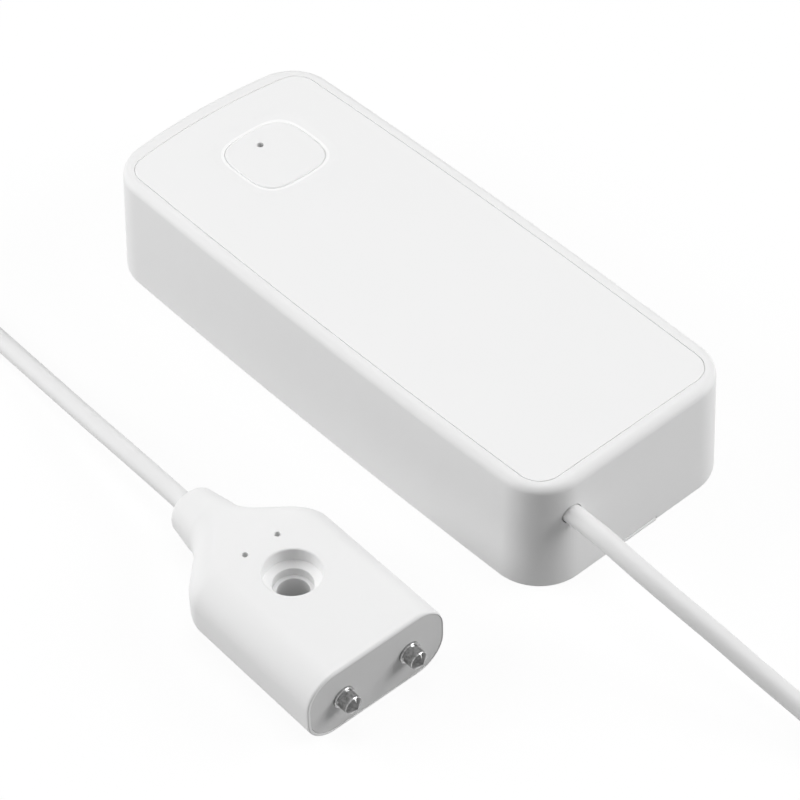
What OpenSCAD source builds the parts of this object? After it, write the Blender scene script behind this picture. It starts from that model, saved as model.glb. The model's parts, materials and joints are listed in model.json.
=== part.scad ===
// Water leak sensor: a battery housing with a push button on its top panel, and a
// screw-down probe with two contact pins on a thin lead.
// The origin is the middle of the housing's foot, the lead leaves the housing towards +X.

/* [Housing] */
// Overall length of the housing, along X
body_l = 90; // [86:0.5:110]
// Overall width of the housing, along Y
body_w = 37.6; // [36:0.2:48]
// How far the middle of each end stands out past its corners
end_crown = 2; // [0.8:0.1:3]
// How far the middle of each long side stands out past its corners
side_crown = 0.7; // [0.3:0.1:1.2]
// Corner radius seen from above
corner_r = 7.6; // [6.5:0.1:10]
// Height of the round on the top edge
edge_h = 2; // [1:0.1:2.6]
// Width of the round on the top edge
edge_w = 1.8; // [1:0.1:2.2]
// How far each side leans in from foot to top edge
draft = 0.4; // [0:0.05:0.7]
// Wall thickness at the top of the sides
wall = 1.8; // [1.2:0.1:2.2]
// Thickness of the roof under the top panel
roof_t = 1.3; // [1:0.1:2]
// Clear height between the battery tub and the roof
head_room = 0.9; // [0.5:0.1:5]

/* [Top panel] */
// Distance of the panel's seam from the ends of the housing
panel_end_inset = 3.2; // [2.7:0.1:4]
// Distance of the panel's seam from the long sides of the housing
panel_side_inset = 2.6; // [2.5:0.1:4]
// Corner radius of the panel
panel_corner_r = 3.4; // [2:0.1:5]
// Thickness of the panel
panel_t = 1.2; // [1:0.1:1.8]
// Width of the seam around the panel
seam_gap = 0.12; // [0.05:0.01:0.25]

/* [Button] */
// Width of the rounded square button
button_w = 12.1; // [10:0.1:13]
// Distance of the button's middle from the far end of the housing
button_from_end = 16.1; // [15:0.1:19]
// Distance of the button's middle from the centre plane, away from the probe
button_y = 1.3; // [0:0.1:2]
// Gap around the button
button_gap = 0.15; // [0.12:0.01:0.3]
// How far the button travels
button_travel = 0.4; // [0.25:0.05:0.5]
// Width of the dished hollow around the button
dish_w = 15.6; // [14:0.1:17]
// Depth of the dished hollow
dish_depth = 0.35; // [0.2:0.05:0.7]
// Diameter of the light hole in the button
light_hole_d = 0.9; // [0.6:0.1:1.2]
// Distance of the light hole from the button's middle
light_hole_from_middle = 3; // [2.9:0.1:3.8]

/* [Battery cover] */
// Thickness of the battery cover
cover_t = 1.6; // [1.2:0.1:2.2]
// How far the cover lies above the foot of the housing
cover_recess = 0.3; // [0.2:0.05:0.6]
// Gap around the battery cover
cover_gap = 0.25; // [0.2:0.05:0.35]
// Width of the notch for prying the cover off
notch_w = 5.2; // [4.6:0.2:10]
// Height of the notch
notch_h = 1.1; // [0.9:0.1:2]

/* [Battery tub] */
// Diameter of a battery cell
cell_d = 10.5; // [9.8:0.1:11]
// Length of a battery cell with its nub
cell_l = 44.5; // [42:0.1:46]
// Clearance around a cell
cell_clear = 0.3; // [0.2:0.05:0.5]
// Wall thickness of the tub
tub_wall = 1; // [0.8:0.1:1.2]
// Length of a contact spring as fitted
spring_l = 4.6; // [4:0.1:5.5]
// Distance of the tub from the button's middle
tub_from_button = 3.6; // [3.4:0.1:6]
// Thickness of the frame's floor
frame_floor_t = 1.2; // [1:0.1:1.6]

/* [Electronics] */
// Height of the circuit board's upper face above the foot
board_z = 10.2; // [9.6:0.1:10.6]
// Thickness of the circuit board
board_t = 1.2; // [0.8:0.1:1.6]
// Width of the circuit board
board_w = 29; // [28:0.2:30]
// Width of the push switch
switch_w = 4.5; // [4:0.1:5]
// Height of the push switch's case
switch_h = 3; // [2.5:0.1:3.2]

/* [Lead] */
// Diameter of the lead
cable_d = 2.7; // [2.2:0.1:3]
// Distance of the lead's way out from the centre plane
exit_y = 11.9; // [11.6:0.1:12.4]
// Height of the lead's way out
exit_z = 11.9; // [11.4:0.1:12.2]
// Clearance around the lead where it leaves the housing
exit_clear = 0.2; // [0.15:0.05:0.5]

/* [Probe] */
// Length of the probe from its face to the end of its neck
probe_l = 37.1; // [35:0.1:44]
// Width of the probe
probe_w = 21.8; // [20:0.2:26]
// Height of the probe
probe_h = 10.8; // [10:0.1:13]
// Radius of the probe's long edges
probe_r = 4.3; // [3.2:0.1:4.8]
// Diameter of the neck at its root
neck_d = 8; // [7.4:0.1:9]
// Diameter of the neck at its rim
neck_rim_d = 6.8; // [6.2:0.1:8]
// Length of the neck up to the shoulders
neck_l = 4.7; // [4:0.1:7]
// Length of the shoulders
shoulder_l = 10.8; // [8:0.2:13]
// Diameter of the screw hole through the probe
screw_hole_d = 4.2; // [3.6:0.1:4.6]
// Diameter of the middle step of the screw hole
step_d = 5.3; // [4.9:0.1:6]
// Depth of the middle step
step_depth = 1.4; // [0.8:0.1:2]
// Diameter of the recess for the screw's head
head_recess_d = 7.6; // [7:0.1:8.4]
// Depth of the recess for the screw's head
head_recess_depth = 2.4; // [1.6:0.1:3]
// Distance of the screw hole from the probe's face
hole_from_face = 15.8; // [14.5:0.1:17]
// Distance between the contact pins
pin_spacing = 10.5; // [9:0.1:12]
// Diameter of the contact pins
pin_d = 2.6; // [2:0.1:3]
// How far the contact pins stand out of the face
pin_out = 2.6; // [2:0.1:4]

/* [Hidden] */
$fn = 48;
past = 1;        // how far a cut runs past the face that it opens
snug = 0.05;     // clearance of pieces that are pushed together
loose = 0.15;    // clearance of pieces that lie beside each other

// Heights, from the foot upwards
floor_gap = 0.1;
floor_z = cover_recess + cover_t + floor_gap;
floor_top = floor_z + frame_floor_t;
cell_z = floor_z + cell_clear + cell_d / 2;
tub_r = cell_d / 2 + cell_clear + tub_wall;
tub_top = cell_z + tub_r;
roof_z = tub_top + head_room;
panel_z = roof_z + roof_t;
body_h = panel_z + panel_t;
lead_z = exit_z;
lead_y = -exit_y;

// Plan of the housing: crowned ends and sides that meet in round corners
inside = wall + draft;
function arc_radius(half, rise) = (half * half + rise * rise) / (2 * rise);
end_arc_r = arc_radius(body_w / 2, end_crown);
side_arc_r = arc_radius(body_l / 2, side_crown);
end_c = [body_l / 2 - end_arc_r, 0];
side_c = [0, body_w / 2 - side_arc_r];
// Middle of the corner circle that touches both arcs from inside
function circles_meet(p, rp, q, rq) =
    let (d = norm(q - p), u = (q - p) / d, a = (d * d + rp * rp - rq * rq) / (2 * d))
    p + a * u + sqrt(rp * rp - a * a) * [-u.y, u.x];
function corner_middle(end_in, side_in, r) =
    circles_meet(end_c, end_arc_r - end_in - r, side_c, side_arc_r - side_in - r);
corner_c = corner_middle(0, 0, corner_r);
end_a = atan2(corner_c.y - end_c.y, corner_c.x - end_c.x);
end_steps = 4;
corner_steps = 8;
side_steps = 4;
// Points on an arc from angle a0 up to, but not including, a1
function arc(c, r, a0, a1, n) =
    [for (i = [0:n - 1]) let (a = a0 + (a1 - a0) * i / n) c + r * [cos(a), sin(a)]];
// Quarter of an outline with its ends and sides drawn in, and with corner radius r
function quarter(end_in, side_in, r) = let (
    c = corner_middle(end_in, side_in, r),
    corner_a0 = atan2(c.y - end_c.y, c.x - end_c.x),
    corner_a1 = atan2(c.y - side_c.y, c.x - side_c.x)) concat(
    arc(end_c, end_arc_r - end_in, 0, corner_a0, end_steps),
    arc(c, r, corner_a0, corner_a1, corner_steps),
    arc(side_c, side_arc_r - side_in, corner_a1, 90, side_steps),
    [[0, body_w / 2 - side_in]]);
function mirrored(points, sx, sy) = [for (p = points) [sx * p.x, sy * p.y]];
function reversed(points) = [for (i = [len(points) - 1:-1:0]) points[i]];
function trimmed(points) = [for (i = [1:len(points) - 2]) points[i]];
function four_times(q) = concat(
    q, trimmed(reversed(mirrored(q, -1, 1))),
    mirrored(q, -1, -1), trimmed(reversed(mirrored(q, 1, -1))));
// Outline of the housing, drawn in by inset
function plan(inset) = four_times(quarter(inset, inset, corner_r - inset));
// Outline of the panel's recess, drawn in by gap
function panel_plan(gap) = four_times(
    quarter(panel_end_inset + gap, panel_side_inset + gap, panel_corner_r - gap));
// Half length of the housing's outline at a distance from the centre plane
function end_x(y, inset) = abs(y) < (end_arc_r - inset) * sin(end_a)
    ? end_c.x + sqrt(pow(end_arc_r - inset, 2) - y * y)
    : corner_c.x + sqrt(pow(corner_r - inset, 2) - pow(abs(y) - corner_c.y, 2));
// Half width of the housing's outline at a distance from its middle
function side_y(x, inset) = side_c.y + sqrt(pow(side_arc_r - inset, 2) - x * x);

// Rounded square with bulging sides
squareness = 3.4;
squircle_steps = 40;
function power(v) = sign(v) * pow(abs(v), 2 / squareness);
function squircle(w) = [for (i = [0:squircle_steps - 1]) let (a = 360 * i / squircle_steps)
    w / 2 * [power(cos(a)), power(sin(a))]];
function raised(points, z) = [for (p = points) [p.x, p.y, z]];

// Solid through rings of points with the same count, from the first ring to the last
module loft(rings) {
    n = len(rings[0]);
    last = (len(rings) - 1) * n;
    sides = [for (k = [0:len(rings) - 2], i = [0:n - 1]) let (a = k * n + i, b = k * n + (i + 1) % n)
        each [[a, a + n, b + n], [a, b + n, b]]];
    polyhedron([for (r = rings) each r], concat([[for (i = [0:n - 1]) i]], sides,
        [[for (i = [n - 1:-1:0]) last + i]]));
}

// Tube along points, with its rings square to the path; ref is never along the path
function unit(v) = v / norm(v);
function along(points, i) = unit(points[min(i + 1, len(points) - 1)] - points[max(i - 1, 0)]);
function ring(p, t, ref, r, sides) = let (s = unit(cross(ref, t)), v = cross(t, s))
    [for (k = [0:sides - 1]) let (a = 360 * (k + 0.5) / sides) p + r * (cos(a) * s + sin(a) * v)];
module tube(points, d, sides, ref = [0, 0, 1]) {
    loft([for (i = [0:len(points) - 1]) ring(points[i], along(points, i), ref, d / 2, sides)]);
}

// Button, its flange under the panel and the switch below it
button_x = button_from_end - body_l / 2;
button_hole_w = button_w + 2 * button_gap;
button_edge = 0.4;
flange_rim = 0.9;
flange_w = button_w + 2 * flange_rim;
flange_t = 0.8;
flange_top = panel_z - loose;
flange_z = flange_top - flange_t;
flange_clear = 0.3;
stem_d = 3;
plunger_d = 2.2;
plunger_reach = 0.8;
plunger_top = board_z + switch_h + plunger_reach;
plunger_l = 2.4;
plunger_z = plunger_top - plunger_l;
plunger_well_z = plunger_z - button_travel - loose;
light_x = button_x - light_hole_from_middle;

// Battery tub
contact_t = 0.4;
bay_l = cell_l + spring_l + 2 * contact_t;
tub_x0 = button_x + tub_from_button;
tub_l = bay_l + 2 * tub_wall;
bay_x0 = tub_x0 + tub_wall;
bay_x1 = bay_x0 + bay_l;
bay_r = cell_d / 2 + cell_clear;
bay_y = bay_r + tub_wall / 2;
tab_clear = 0.2;
frame_gap = 0.3;
frame_inset = inside + frame_gap;
contact_w = sqrt(2) * bay_r - 2 * tab_clear;
link_h = 3;
tab_w = 3;
tab_reach = 1.4;
spring_wire_d = 0.6;
spring_r = 2.6;
spring_turns = 3;
nub_d = 3.8;
nub_l = 0.8;
cell_edge = 0.5;

// Circuit board and the posts that carry it
board_end_gap = 1.2;
board_tub_gap = 0.8;
board_x0 = board_end_gap - end_x(board_w / 4, inside);
board_x1 = tub_x0 - board_tub_gap;
board_under = board_z - board_t;
boss_d = 4.4;
boss_clear = 0.4;
post_d = 4;
post_from_side = 2.2;
post_from_far_end = 7.2;
post_from_tub_end = 2;
post_y = board_w / 2 - post_from_side;
post_x = [board_x0 + post_from_far_end, board_x1 - post_from_tub_end];
post_hole_d = 1.6;
board_screw_spots = [[post_x[0], -post_y], [post_x[1], post_y]];
mini_head_d = 3;
mini_head_h = 1;
mini_shank_d = 1.5;
mini_shank_l = 5;

// Screws that hold the frame to bosses in the housing
far_boss_from_end = 6;
far_boss_from_side = 8.3;
far_boss_x = far_boss_from_end - body_l / 2;
far_boss_y = body_w / 2 - far_boss_from_side;
near_boss_from_end = 6.6;
near_boss_x = body_l / 2 - near_boss_from_end;
near_boss_y = [9, -1.2];
frame_screw_spots = [[near_boss_x, near_boss_y[0]], [near_boss_x, near_boss_y[1]],
    [far_boss_x, far_boss_y], [far_boss_x, -far_boss_y]];
pad_d = 6.2;
pad_h = 3;
pad_top = floor_z + pad_h;
screw_head_d = 3.6;
screw_head_h = 1.3;
screw_shank_d = 1.8;
screw_shank_l = 7;
screw_seat_z = floor_z + screw_head_h + loose;

// Guide tongues of the battery cover
tongue_x = [-12, 22];
tongue_l = 6;
tongue_t = 1;
tongue_rise = 2.4;
tongue_top = floor_top + tongue_rise;
tongue_clear = 0.25;
tongue_in = 0.45;
tongue_slot = tongue_in + tongue_t + tongue_clear;

// Lead inside the housing
lead_exit_x = end_x(exit_y, draft * exit_z / (body_h - edge_h));
clamp_from_end = 4.8;
clamp_l = 4;
clamp_x = body_l / 2 - clamp_from_end - clamp_l;
clamp_past_lead = 2.6;
clamp_y0 = lead_y - clamp_past_lead;
clamp_w = 8.4;
clamp_t = 2.2;
clamp_drop = 0.8;
clamp_z = lead_z - clamp_drop;
clamp_boss_z = clamp_z + snug;
clamp_screw_from_lead = 4;
clamp_screw_y = lead_y + clamp_screw_from_lead;
clamp_screw_x = clamp_x + clamp_l / 2;
rib_w = 3.2;
rib_lift = 0.4;
rib_z = lead_z + rib_lift;
jacket_out = 0.2;
lead_entry_x = clamp_x - jacket_out;
wire_d = 0.9;
wire_gap = 0.3;
wire_z = [lead_z - (wire_d + wire_gap) / 2, lead_z + (wire_d + wire_gap) / 2];
socket_l = 4.2;
socket_w = 5;
socket_h = 4;
socket_from_edge = 1.6;
socket_from_side = 0.2;
socket_x = board_x1 - socket_l - socket_from_edge;
wire_y = socket_from_side + (socket_w - board_w) / 2;
plug_l = 4.6;
plug_inset = 0.5;
plug_in = 3;
plug_x = socket_x + socket_l - plug_in + snug;

// Place of the probe, which lies on the same surface as the housing
probe_x = 42.4;
probe_y = -43.6;
probe_turn = -1;
module at_probe() {
    translate([probe_x, probe_y, 0]) rotate([0, 0, probe_turn]) children();
}
probe_mid = probe_h / 2;
probe_axis = [cos(probe_turn), sin(probe_turn), 0];
neck_end = [probe_x, probe_y, probe_mid] - probe_l * probe_axis;
neck_round = 1.2;
face_round = 0.8;
shell_rim = 0.9;
cap_t = 2.6;
cap_back = 0.05;
wire_room_h = 3.6;
column_wall = 1.4;
tail_l = 11;
drip_hole_d = 0.9;
drip_hole_depth = 1.6;
drip_hole_spacing = 5.2;
drip_hole_from_hole = 6.1;
collar_rim = 0.3;
collar_d = pin_d + 2 * collar_rim;
collar_t = 0.35;
cone_l = 0.9;
point_d = 0.9;
pin_head_rim = 0.5;
pin_head_d = pin_d + 2 * pin_head_rim;
pin_head_t = 0.8;
pin_tail_d = 1.2;
pin_tail_l = 3.4;

// Route of the lead, from the housing to the coil and from the coil to the probe
run_sides = 8;
rest_z = cable_d / 2 + snug;
coil_middle = [92, -58];
coil_outer_r = 20;
coil_turns = 7.25;
coil_gap = 0.5;
coil_pitch = cable_d + coil_gap;
coil_sides = 6;
loop_rings = 24;
tie_t = 0.5;
tie_gap = 0.1;
coil_z = cable_d / 2 + tie_t + tie_gap;
coil_upper_z = coil_z + coil_pitch;
coil_in = [coil_middle.x + coil_outer_r, coil_middle.y + cable_d, coil_z];
coil_out = [coil_middle.x - cable_d, coil_middle.y - coil_outer_r, coil_upper_z];
end_straight = 2.5;
run_out_route = concat(
    [[lead_exit_x, lead_y, lead_z], [lead_exit_x + end_straight, lead_y, lead_z]],
    [[50, -11.9, 11.8], [56, -11.8, 11], [62, -11.2, 9.6], [68, -10.3, 7.8], [74, -9.4, 5.8],
     [80, -8.4, 3.8], [85, -7.8, 2.4], [90, -7.5, 1.6], [96, -7.6, rest_z], [102, -8.8, rest_z],
     [107.3, -12.3, rest_z], [110.8, -17.5, rest_z], [112, -23.6, rest_z], [112, -30, rest_z],
     [112, -37, 1.5], [112, -44, 1.7], [112, -50, coil_z]],
    [coil_in]);
run_in_route = concat(
    [coil_out],
    [[84, -78, coil_upper_z], [77, -78.5, 4.5], [70, -79.6, 3.3], [63, -81.2, 2.2],
     [56, -83.2, 1.6], [49, -85.4, rest_z], [42, -87.6, rest_z], [35, -89.8, rest_z], [28, -91.6, rest_z],
     [21, -92.3, rest_z], [14, -91.4, rest_z], [7, -88.8, rest_z], [0, -86, rest_z],
     [-7, -83.2, rest_z], [-14, -80.4, rest_z], [-21, -77.6, rest_z], [-28, -74.8, rest_z],
     [-35, -72, rest_z], [-42, -69.3, rest_z], [-48.6, -66.7, rest_z], [-54.7, -64.2, rest_z],
     [-59.6, -60.6, rest_z], [-62.3, -54.8, rest_z], [-61.7, -48.3, rest_z], [-58, -43, rest_z],
     [-53.2, -40.5, rest_z], [-47, -40.1, rest_z], [-41, -40.3, rest_z], [-35, -40.5, 1.6],
     [-29, -40.8, 2], [-23, -41.2, 2.6], [-17, -41.7, 3.4], [-11, -42.2, 4.3], [-5, -42.6, 5]],
    [neck_end - end_straight * probe_axis, neck_end]);
// The coil spirals in on the lower layer, climbs over half a turn and spirals out on the upper layer
coil_half = 180 * coil_turns;
function coil_r(s) = coil_outer_r - coil_pitch * (coil_half - abs(s - coil_half)) / 360;
function coil_climb(s) = min(1, max(0, (s - coil_half) / 180 + 0.5));
function coil_point(s) = let (c = coil_climb(s)) [coil_middle.x + coil_r(s) * cos(s),
    coil_middle.y - coil_r(s) * sin(s), coil_z + coil_pitch * c * c * (3 - 2 * c)];
coil_path = concat(
    [coil_in], [for (i = [0:loop_rings * coil_turns]) coil_point(360 * i / loop_rings)], [coil_out]);
// Least distance between parts of a path that lie more than half a loop apart, less the tube
function least_gap(points, d, skip) =
    min([for (i = [0:len(points) - 1 - skip], j = [i + skip:len(points) - 1])
        norm(points[i] - points[j])]) - d;
echo(coil_gap = least_gap(coil_path, cable_d, loop_rings / 2));

// Shell with bosses for the frame and the clamp, and a rib that backs the lead over the clamp
module housing() {
    foot_round = 0.3;
    side_rings = [[0, foot_round], [foot_round, 0], [body_h - edge_h, draft]];
    edge_rings = [for (a = [15:15:90]) [body_h - edge_h + edge_h * sin(a), draft + edge_w * (1 - cos(a))]];
    color("white") difference() {
        union() {
            difference() {
                loft([for (r = concat(side_rings, edge_rings)) raised(plan(r[1]), r[0])]);
                translate([0, 0, -past]) linear_extrude(roof_z + past) polygon(plan(inside));
            }
            for (p = frame_screw_spots)
                translate([p.x, p.y, pad_top]) cylinder(d = boss_d, h = roof_z - pad_top + roof_t / 2);
            translate([clamp_screw_x, clamp_screw_y, clamp_boss_z])
                cylinder(d = boss_d, h = roof_z - clamp_boss_z + roof_t / 2);
            translate([clamp_x, lead_y - rib_w / 2, rib_z])
                cube([clamp_l, rib_w, roof_z - rib_z + roof_t / 2]);
        }
        translate([clamp_x - past, lead_y, lead_z])
            rotate([0, 90, 0]) cylinder(d = cable_d + 2 * snug, h = lead_exit_x - clamp_x + past);
        translate([0, 0, panel_z]) linear_extrude(panel_t + past) polygon(panel_plan(0));
        translate([button_x, button_y, roof_z - past])
            linear_extrude(roof_t + 2 * past) polygon(squircle(flange_w + 2 * flange_clear));
        translate([lead_exit_x - inside - past, lead_y, lead_z])
            rotate([0, 90, 0]) cylinder(d = cable_d + 2 * exit_clear, h = inside + 2 * past);
        translate([body_l / 2 - 2 * inside, -notch_w / 2, -past]) cube([3 * inside, notch_w, notch_h + past]);
        for (p = frame_screw_spots)
            translate([p.x, p.y, pad_top - past])
                cylinder(d = screw_shank_d + 2 * snug, h = screw_shank_l + past);
        translate([clamp_screw_x, clamp_screw_y, clamp_z - past])
            cylinder(d = mini_shank_d + 2 * snug, h = mini_shank_l - clamp_t + past);
    }
}

module top_panel() {
    dish_steps = 6;
    dish_rings = [for (i = [0:dish_steps]) let (t = i / dish_steps)
        raised(squircle(mixed(button_hole_w, dish_w, t)), body_h - dish_depth * (1 + cos(180 * t)) / 2)];
    color("whitesmoke") difference() {
        translate([0, 0, panel_z]) linear_extrude(panel_t) polygon(panel_plan(seam_gap));
        translate([button_x, button_y, panel_z - past])
            linear_extrude(panel_t + 2 * past) polygon(squircle(button_hole_w));
        translate([button_x, button_y, 0])
            loft(concat(dish_rings, [raised(squircle(dish_w), body_h + past)]));
    }
}

module button_cap() {
    edge_rings = [for (a = [0:30:90])
        raised(squircle(button_w - 2 * button_edge * (1 - cos(a))), body_h - button_edge * (1 - sin(a)))];
    color("whitesmoke") difference() {
        translate([button_x, button_y, 0]) union() {
            loft(concat([raised(squircle(button_w), flange_z)], edge_rings));
            translate([0, 0, flange_z]) linear_extrude(flange_t) polygon(squircle(flange_w));
            translate([0, 0, plunger_top]) cylinder(d = stem_d, h = flange_z - plunger_top + flange_t / 2);
        }
        translate([light_x, button_y, flange_z - past])
            cylinder(d = light_hole_d, h = body_h - flange_z + 2 * past);
    }
}

module tact_switch() {
    color("dimgray") translate([button_x, button_y, board_z]) difference() {
        translate([-switch_w / 2, -switch_w / 2, 0]) cube([switch_w, switch_w, switch_h]);
        translate([0, 0, plunger_well_z - board_z]) cylinder(d = plunger_d + 2 * loose, h = switch_h);
    }
}

module switch_plunger() {
    color("black") translate([button_x, button_y, plunger_z])
        cylinder(d = plunger_d, h = plunger_top - plunger_z);
}

module circuit_board() {
    corner_x = far_boss_x + boss_d / 2 + boss_clear;
    corner_y = far_boss_y - boss_d / 2 - boss_clear;
    color("darkgreen") translate([0, 0, board_under]) difference() {
        linear_extrude(board_t) intersection() {
            polygon(plan(frame_inset));
            polygon([[board_x0, -corner_y], [corner_x, -corner_y], [corner_x, -board_w / 2],
                [board_x1, -board_w / 2], [board_x1, board_w / 2], [corner_x, board_w / 2],
                [corner_x, corner_y], [board_x0, corner_y]]);
        }
        for (p = board_screw_spots)
            translate([p.x, p.y, -past]) cylinder(d = mini_shank_d + 2 * loose, h = board_t + 2 * past);
    }
}

// Pan-head screw that points up, with the seat of its head at z = 0
module screw(head_d, head_h, shank_d, shank_l) {
    rotate_extrude() polygon([[0, -head_h], [head_d / 2 - head_h / 3, -head_h], [head_d / 2, -head_h / 2],
        [head_d / 2, 0], [shank_d / 2, 0], [shank_d / 2, shank_l - shank_d / 2], [0, shank_l]]);
}

module board_screws() {
    color("silver") for (p = board_screw_spots)
        translate([p.x, p.y, board_z]) mirror([0, 0, 1])
            screw(mini_head_d, mini_head_h, mini_shank_d, mini_shank_l);
}

module status_led() {
    led_l = 1.6;
    led_w = 0.8;
    led_h = 0.7;
    color("lightyellow") translate([light_x - led_w / 2, button_y - led_l / 2, board_z])
        cube([led_w, led_l, led_h]);
}

// Control chip, storage capacitor and choke on the upper face of the board
module board_parts() {
    chip = [5, 4, 1.2];
    chip_spot = [7.8, 6];
    capacitor_d = 4;
    capacitor_h = 3.6;
    capacitor_spot = [2.8, 4];
    choke = [4, 4, 2];
    choke_spot = [4.3, -5];
    color("darkslategray") translate([board_x0, 0, board_z]) {
        translate([chip_spot.x - chip.x / 2, chip_spot.y - chip.y / 2, 0]) cube(chip);
        translate([capacitor_spot.x, capacitor_spot.y, 0]) cylinder(d = capacitor_d, h = capacitor_h);
        translate([choke_spot.x - choke.x / 2, choke_spot.y - choke.y / 2, 0]) cube(choke);
    }
}

radio_l = 13.5;
radio_w = 14;
radio_t = 0.8;
radio_from_end = 0.8;
radio_x = board_x0 + radio_from_end;
shield_margin = 1.2;
shield_h = 2;
antenna_l = 4.6;
module radio_module() {
    color("midnightblue") translate([radio_x, -radio_w / 2, board_under - radio_t])
        cube([radio_l, radio_w, radio_t]);
}

module radio_shield() {
    shield_l = radio_l - antenna_l - shield_margin;
    shield_w = radio_w - 2 * shield_margin;
    color("silver") translate([radio_x + antenna_l, -shield_w / 2, board_under - radio_t - shield_h])
        cube([shield_l, shield_w, shield_h]);
}

module lead_socket() {
    color("ivory") translate([socket_x, wire_y - socket_w / 2, board_z]) difference() {
        cube([socket_l, socket_w, socket_h]);
        translate([socket_l - plug_in, plug_inset, plug_inset])
            cube([plug_in + past, socket_w - 2 * plug_inset, socket_h - 2 * plug_inset]);
    }
}

module lead_plug() {
    side = plug_inset + loose;
    color("ivory") translate([plug_x, wire_y - socket_w / 2 + side, board_z + side])
        cube([plug_l, socket_w - 2 * side, socket_h - 2 * side]);
}

module lead_wires() {
    wire_x0 = plug_x + plug_l;
    for (i = [0, 1]) color(["red", "black"][i])
        translate([wire_x0, wire_y, wire_z[i]])
            rotate([0, 90, 0]) cylinder(d = wire_d, h = lead_entry_x - wire_x0);
}

module inner_frame() {
    color("gainsboro") difference() {
        union() {
            translate([0, 0, floor_z]) linear_extrude(frame_floor_t) polygon(plan(frame_inset));
            for (s = [-1, 1]) {
                translate([tub_x0, s * bay_y, cell_z]) rotate([0, 90, 0]) cylinder(r = tub_r, h = tub_l);
                translate([tub_x0, s * bay_y - tub_r, floor_z]) cube([tub_l, 2 * tub_r, cell_z - floor_z]);
            }
            for (p = frame_screw_spots) translate([p.x, p.y, floor_z]) cylinder(d = pad_d, h = pad_h - snug);
            for (x = post_x, s = [-1, 1])
                translate([x, s * post_y, floor_z]) cylinder(d = post_d, h = board_under - floor_z);
        }
        for (s = [-1, 1]) {
            translate([bay_x0, s * bay_y, cell_z]) rotate([0, 90, 0]) cylinder(r = bay_r, h = bay_l);
            translate([bay_x0, s * bay_y - bay_r, floor_z - past])
                cube([bay_l, 2 * bay_r, cell_z - floor_z + past]);
            translate([tub_x0 - past, s * bay_y - tab_w / 2 - tab_clear, board_z - tab_clear])
                cube([tub_wall + 2 * past, tab_w + 2 * tab_clear, contact_t + 2 * tab_clear]);
            for (x = tongue_x) translate([x, s * side_y(x, inside), floor_z + frame_floor_t / 2])
                cube([tongue_l + 2 * tongue_clear, 2 * tongue_slot, frame_floor_t + 2 * past], center = true);
        }
        translate([bay_x1 - contact_t - tab_clear, -bay_y, cell_z - link_h / 2 - tab_clear])
            cube([contact_t + tab_clear, 2 * bay_y, link_h + 2 * tab_clear]);
        translate([-body_l / 2, -body_w / 2, floor_z - body_h]) cube([body_l, body_w, body_h]);
        translate([tub_x0 - past, wire_y - wire_d / 2 - loose, wire_z[0] - wire_d / 2 - loose])
            cube([tub_l + 2 * past, wire_d + 2 * loose, body_h]);
        for (p = frame_screw_spots) translate([p.x, p.y, floor_z]) {
            translate([0, 0, -past])
                cylinder(d = screw_head_d + 2 * loose, h = screw_seat_z - floor_z + past);
            cylinder(d = screw_shank_d + 2 * loose, h = pad_h + past);
        }
        for (p = board_screw_spots)
            translate([p.x, p.y, board_under - mini_shank_l])
                cylinder(d = post_hole_d, h = mini_shank_l + past);
    }
}

module frame_screws() {
    color("silver") for (p = frame_screw_spots)
        translate([p.x, p.y, screw_seat_z]) screw(screw_head_d, screw_head_h, screw_shank_d, screw_shank_l);
}

// Cell with its nub towards +X, from x = 0
module cell() {
    can_l = cell_l - nub_l;
    rotate([0, 90, 0]) rotate_extrude() polygon([[0, 0], [cell_d / 2 - cell_edge, 0], [cell_d / 2, cell_edge],
        [cell_d / 2, can_l - cell_edge], [cell_d / 2 - cell_edge, can_l], [nub_d / 2, can_l],
        [nub_d / 2, cell_l], [0, cell_l]]);
}

module battery_cells() {
    color("darkorange") {
        translate([bay_x1 - contact_t - cell_l, bay_y, cell_z]) cell();
        translate([bay_x0 + contact_t + cell_l, -bay_y, cell_z]) mirror([1, 0, 0]) cell();
    }
}

// Contact spring along +X, from x = 0
module contact_spring() {
    rings = 8 * spring_turns;
    lead_in = spring_wire_d / 2 + snug;
    path = [for (i = [0:rings]) let (a = 360 * spring_turns * i / rings)
        [lead_in + (spring_l - 2 * lead_in) * i / rings, spring_r * cos(a), spring_r * sin(a)]];
    tube(path, spring_wire_d, 6, [1, 0, 0]);
}

module battery_springs() {
    color("silver") {
        translate([bay_x0 + contact_t, bay_y, cell_z]) contact_spring();
        translate([bay_x1 - contact_t, -bay_y, cell_z]) mirror([1, 0, 0]) contact_spring();
    }
}

// Two contacts with tabs that reach the board, and one that links both cells
module battery_contacts() {
    plate_z = cell_z - contact_w / 2;
    plate = [contact_t, contact_w, contact_w];
    color("silver") {
        for (s = [-1, 1]) {
            translate([bay_x0, s * bay_y - contact_w / 2, plate_z]) cube(plate);
            translate([board_x1 - tab_reach, s * bay_y - tab_w / 2, board_z])
                cube([bay_x0 - board_x1 + tab_reach + contact_t, tab_w, contact_t]);
            translate([bay_x1 - contact_t, s * bay_y - contact_w / 2, plate_z]) cube(plate);
        }
        translate([bay_x1 - contact_t, -bay_y, cell_z - link_h / 2]) cube([contact_t, 2 * bay_y, link_h]);
    }
}

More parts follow.
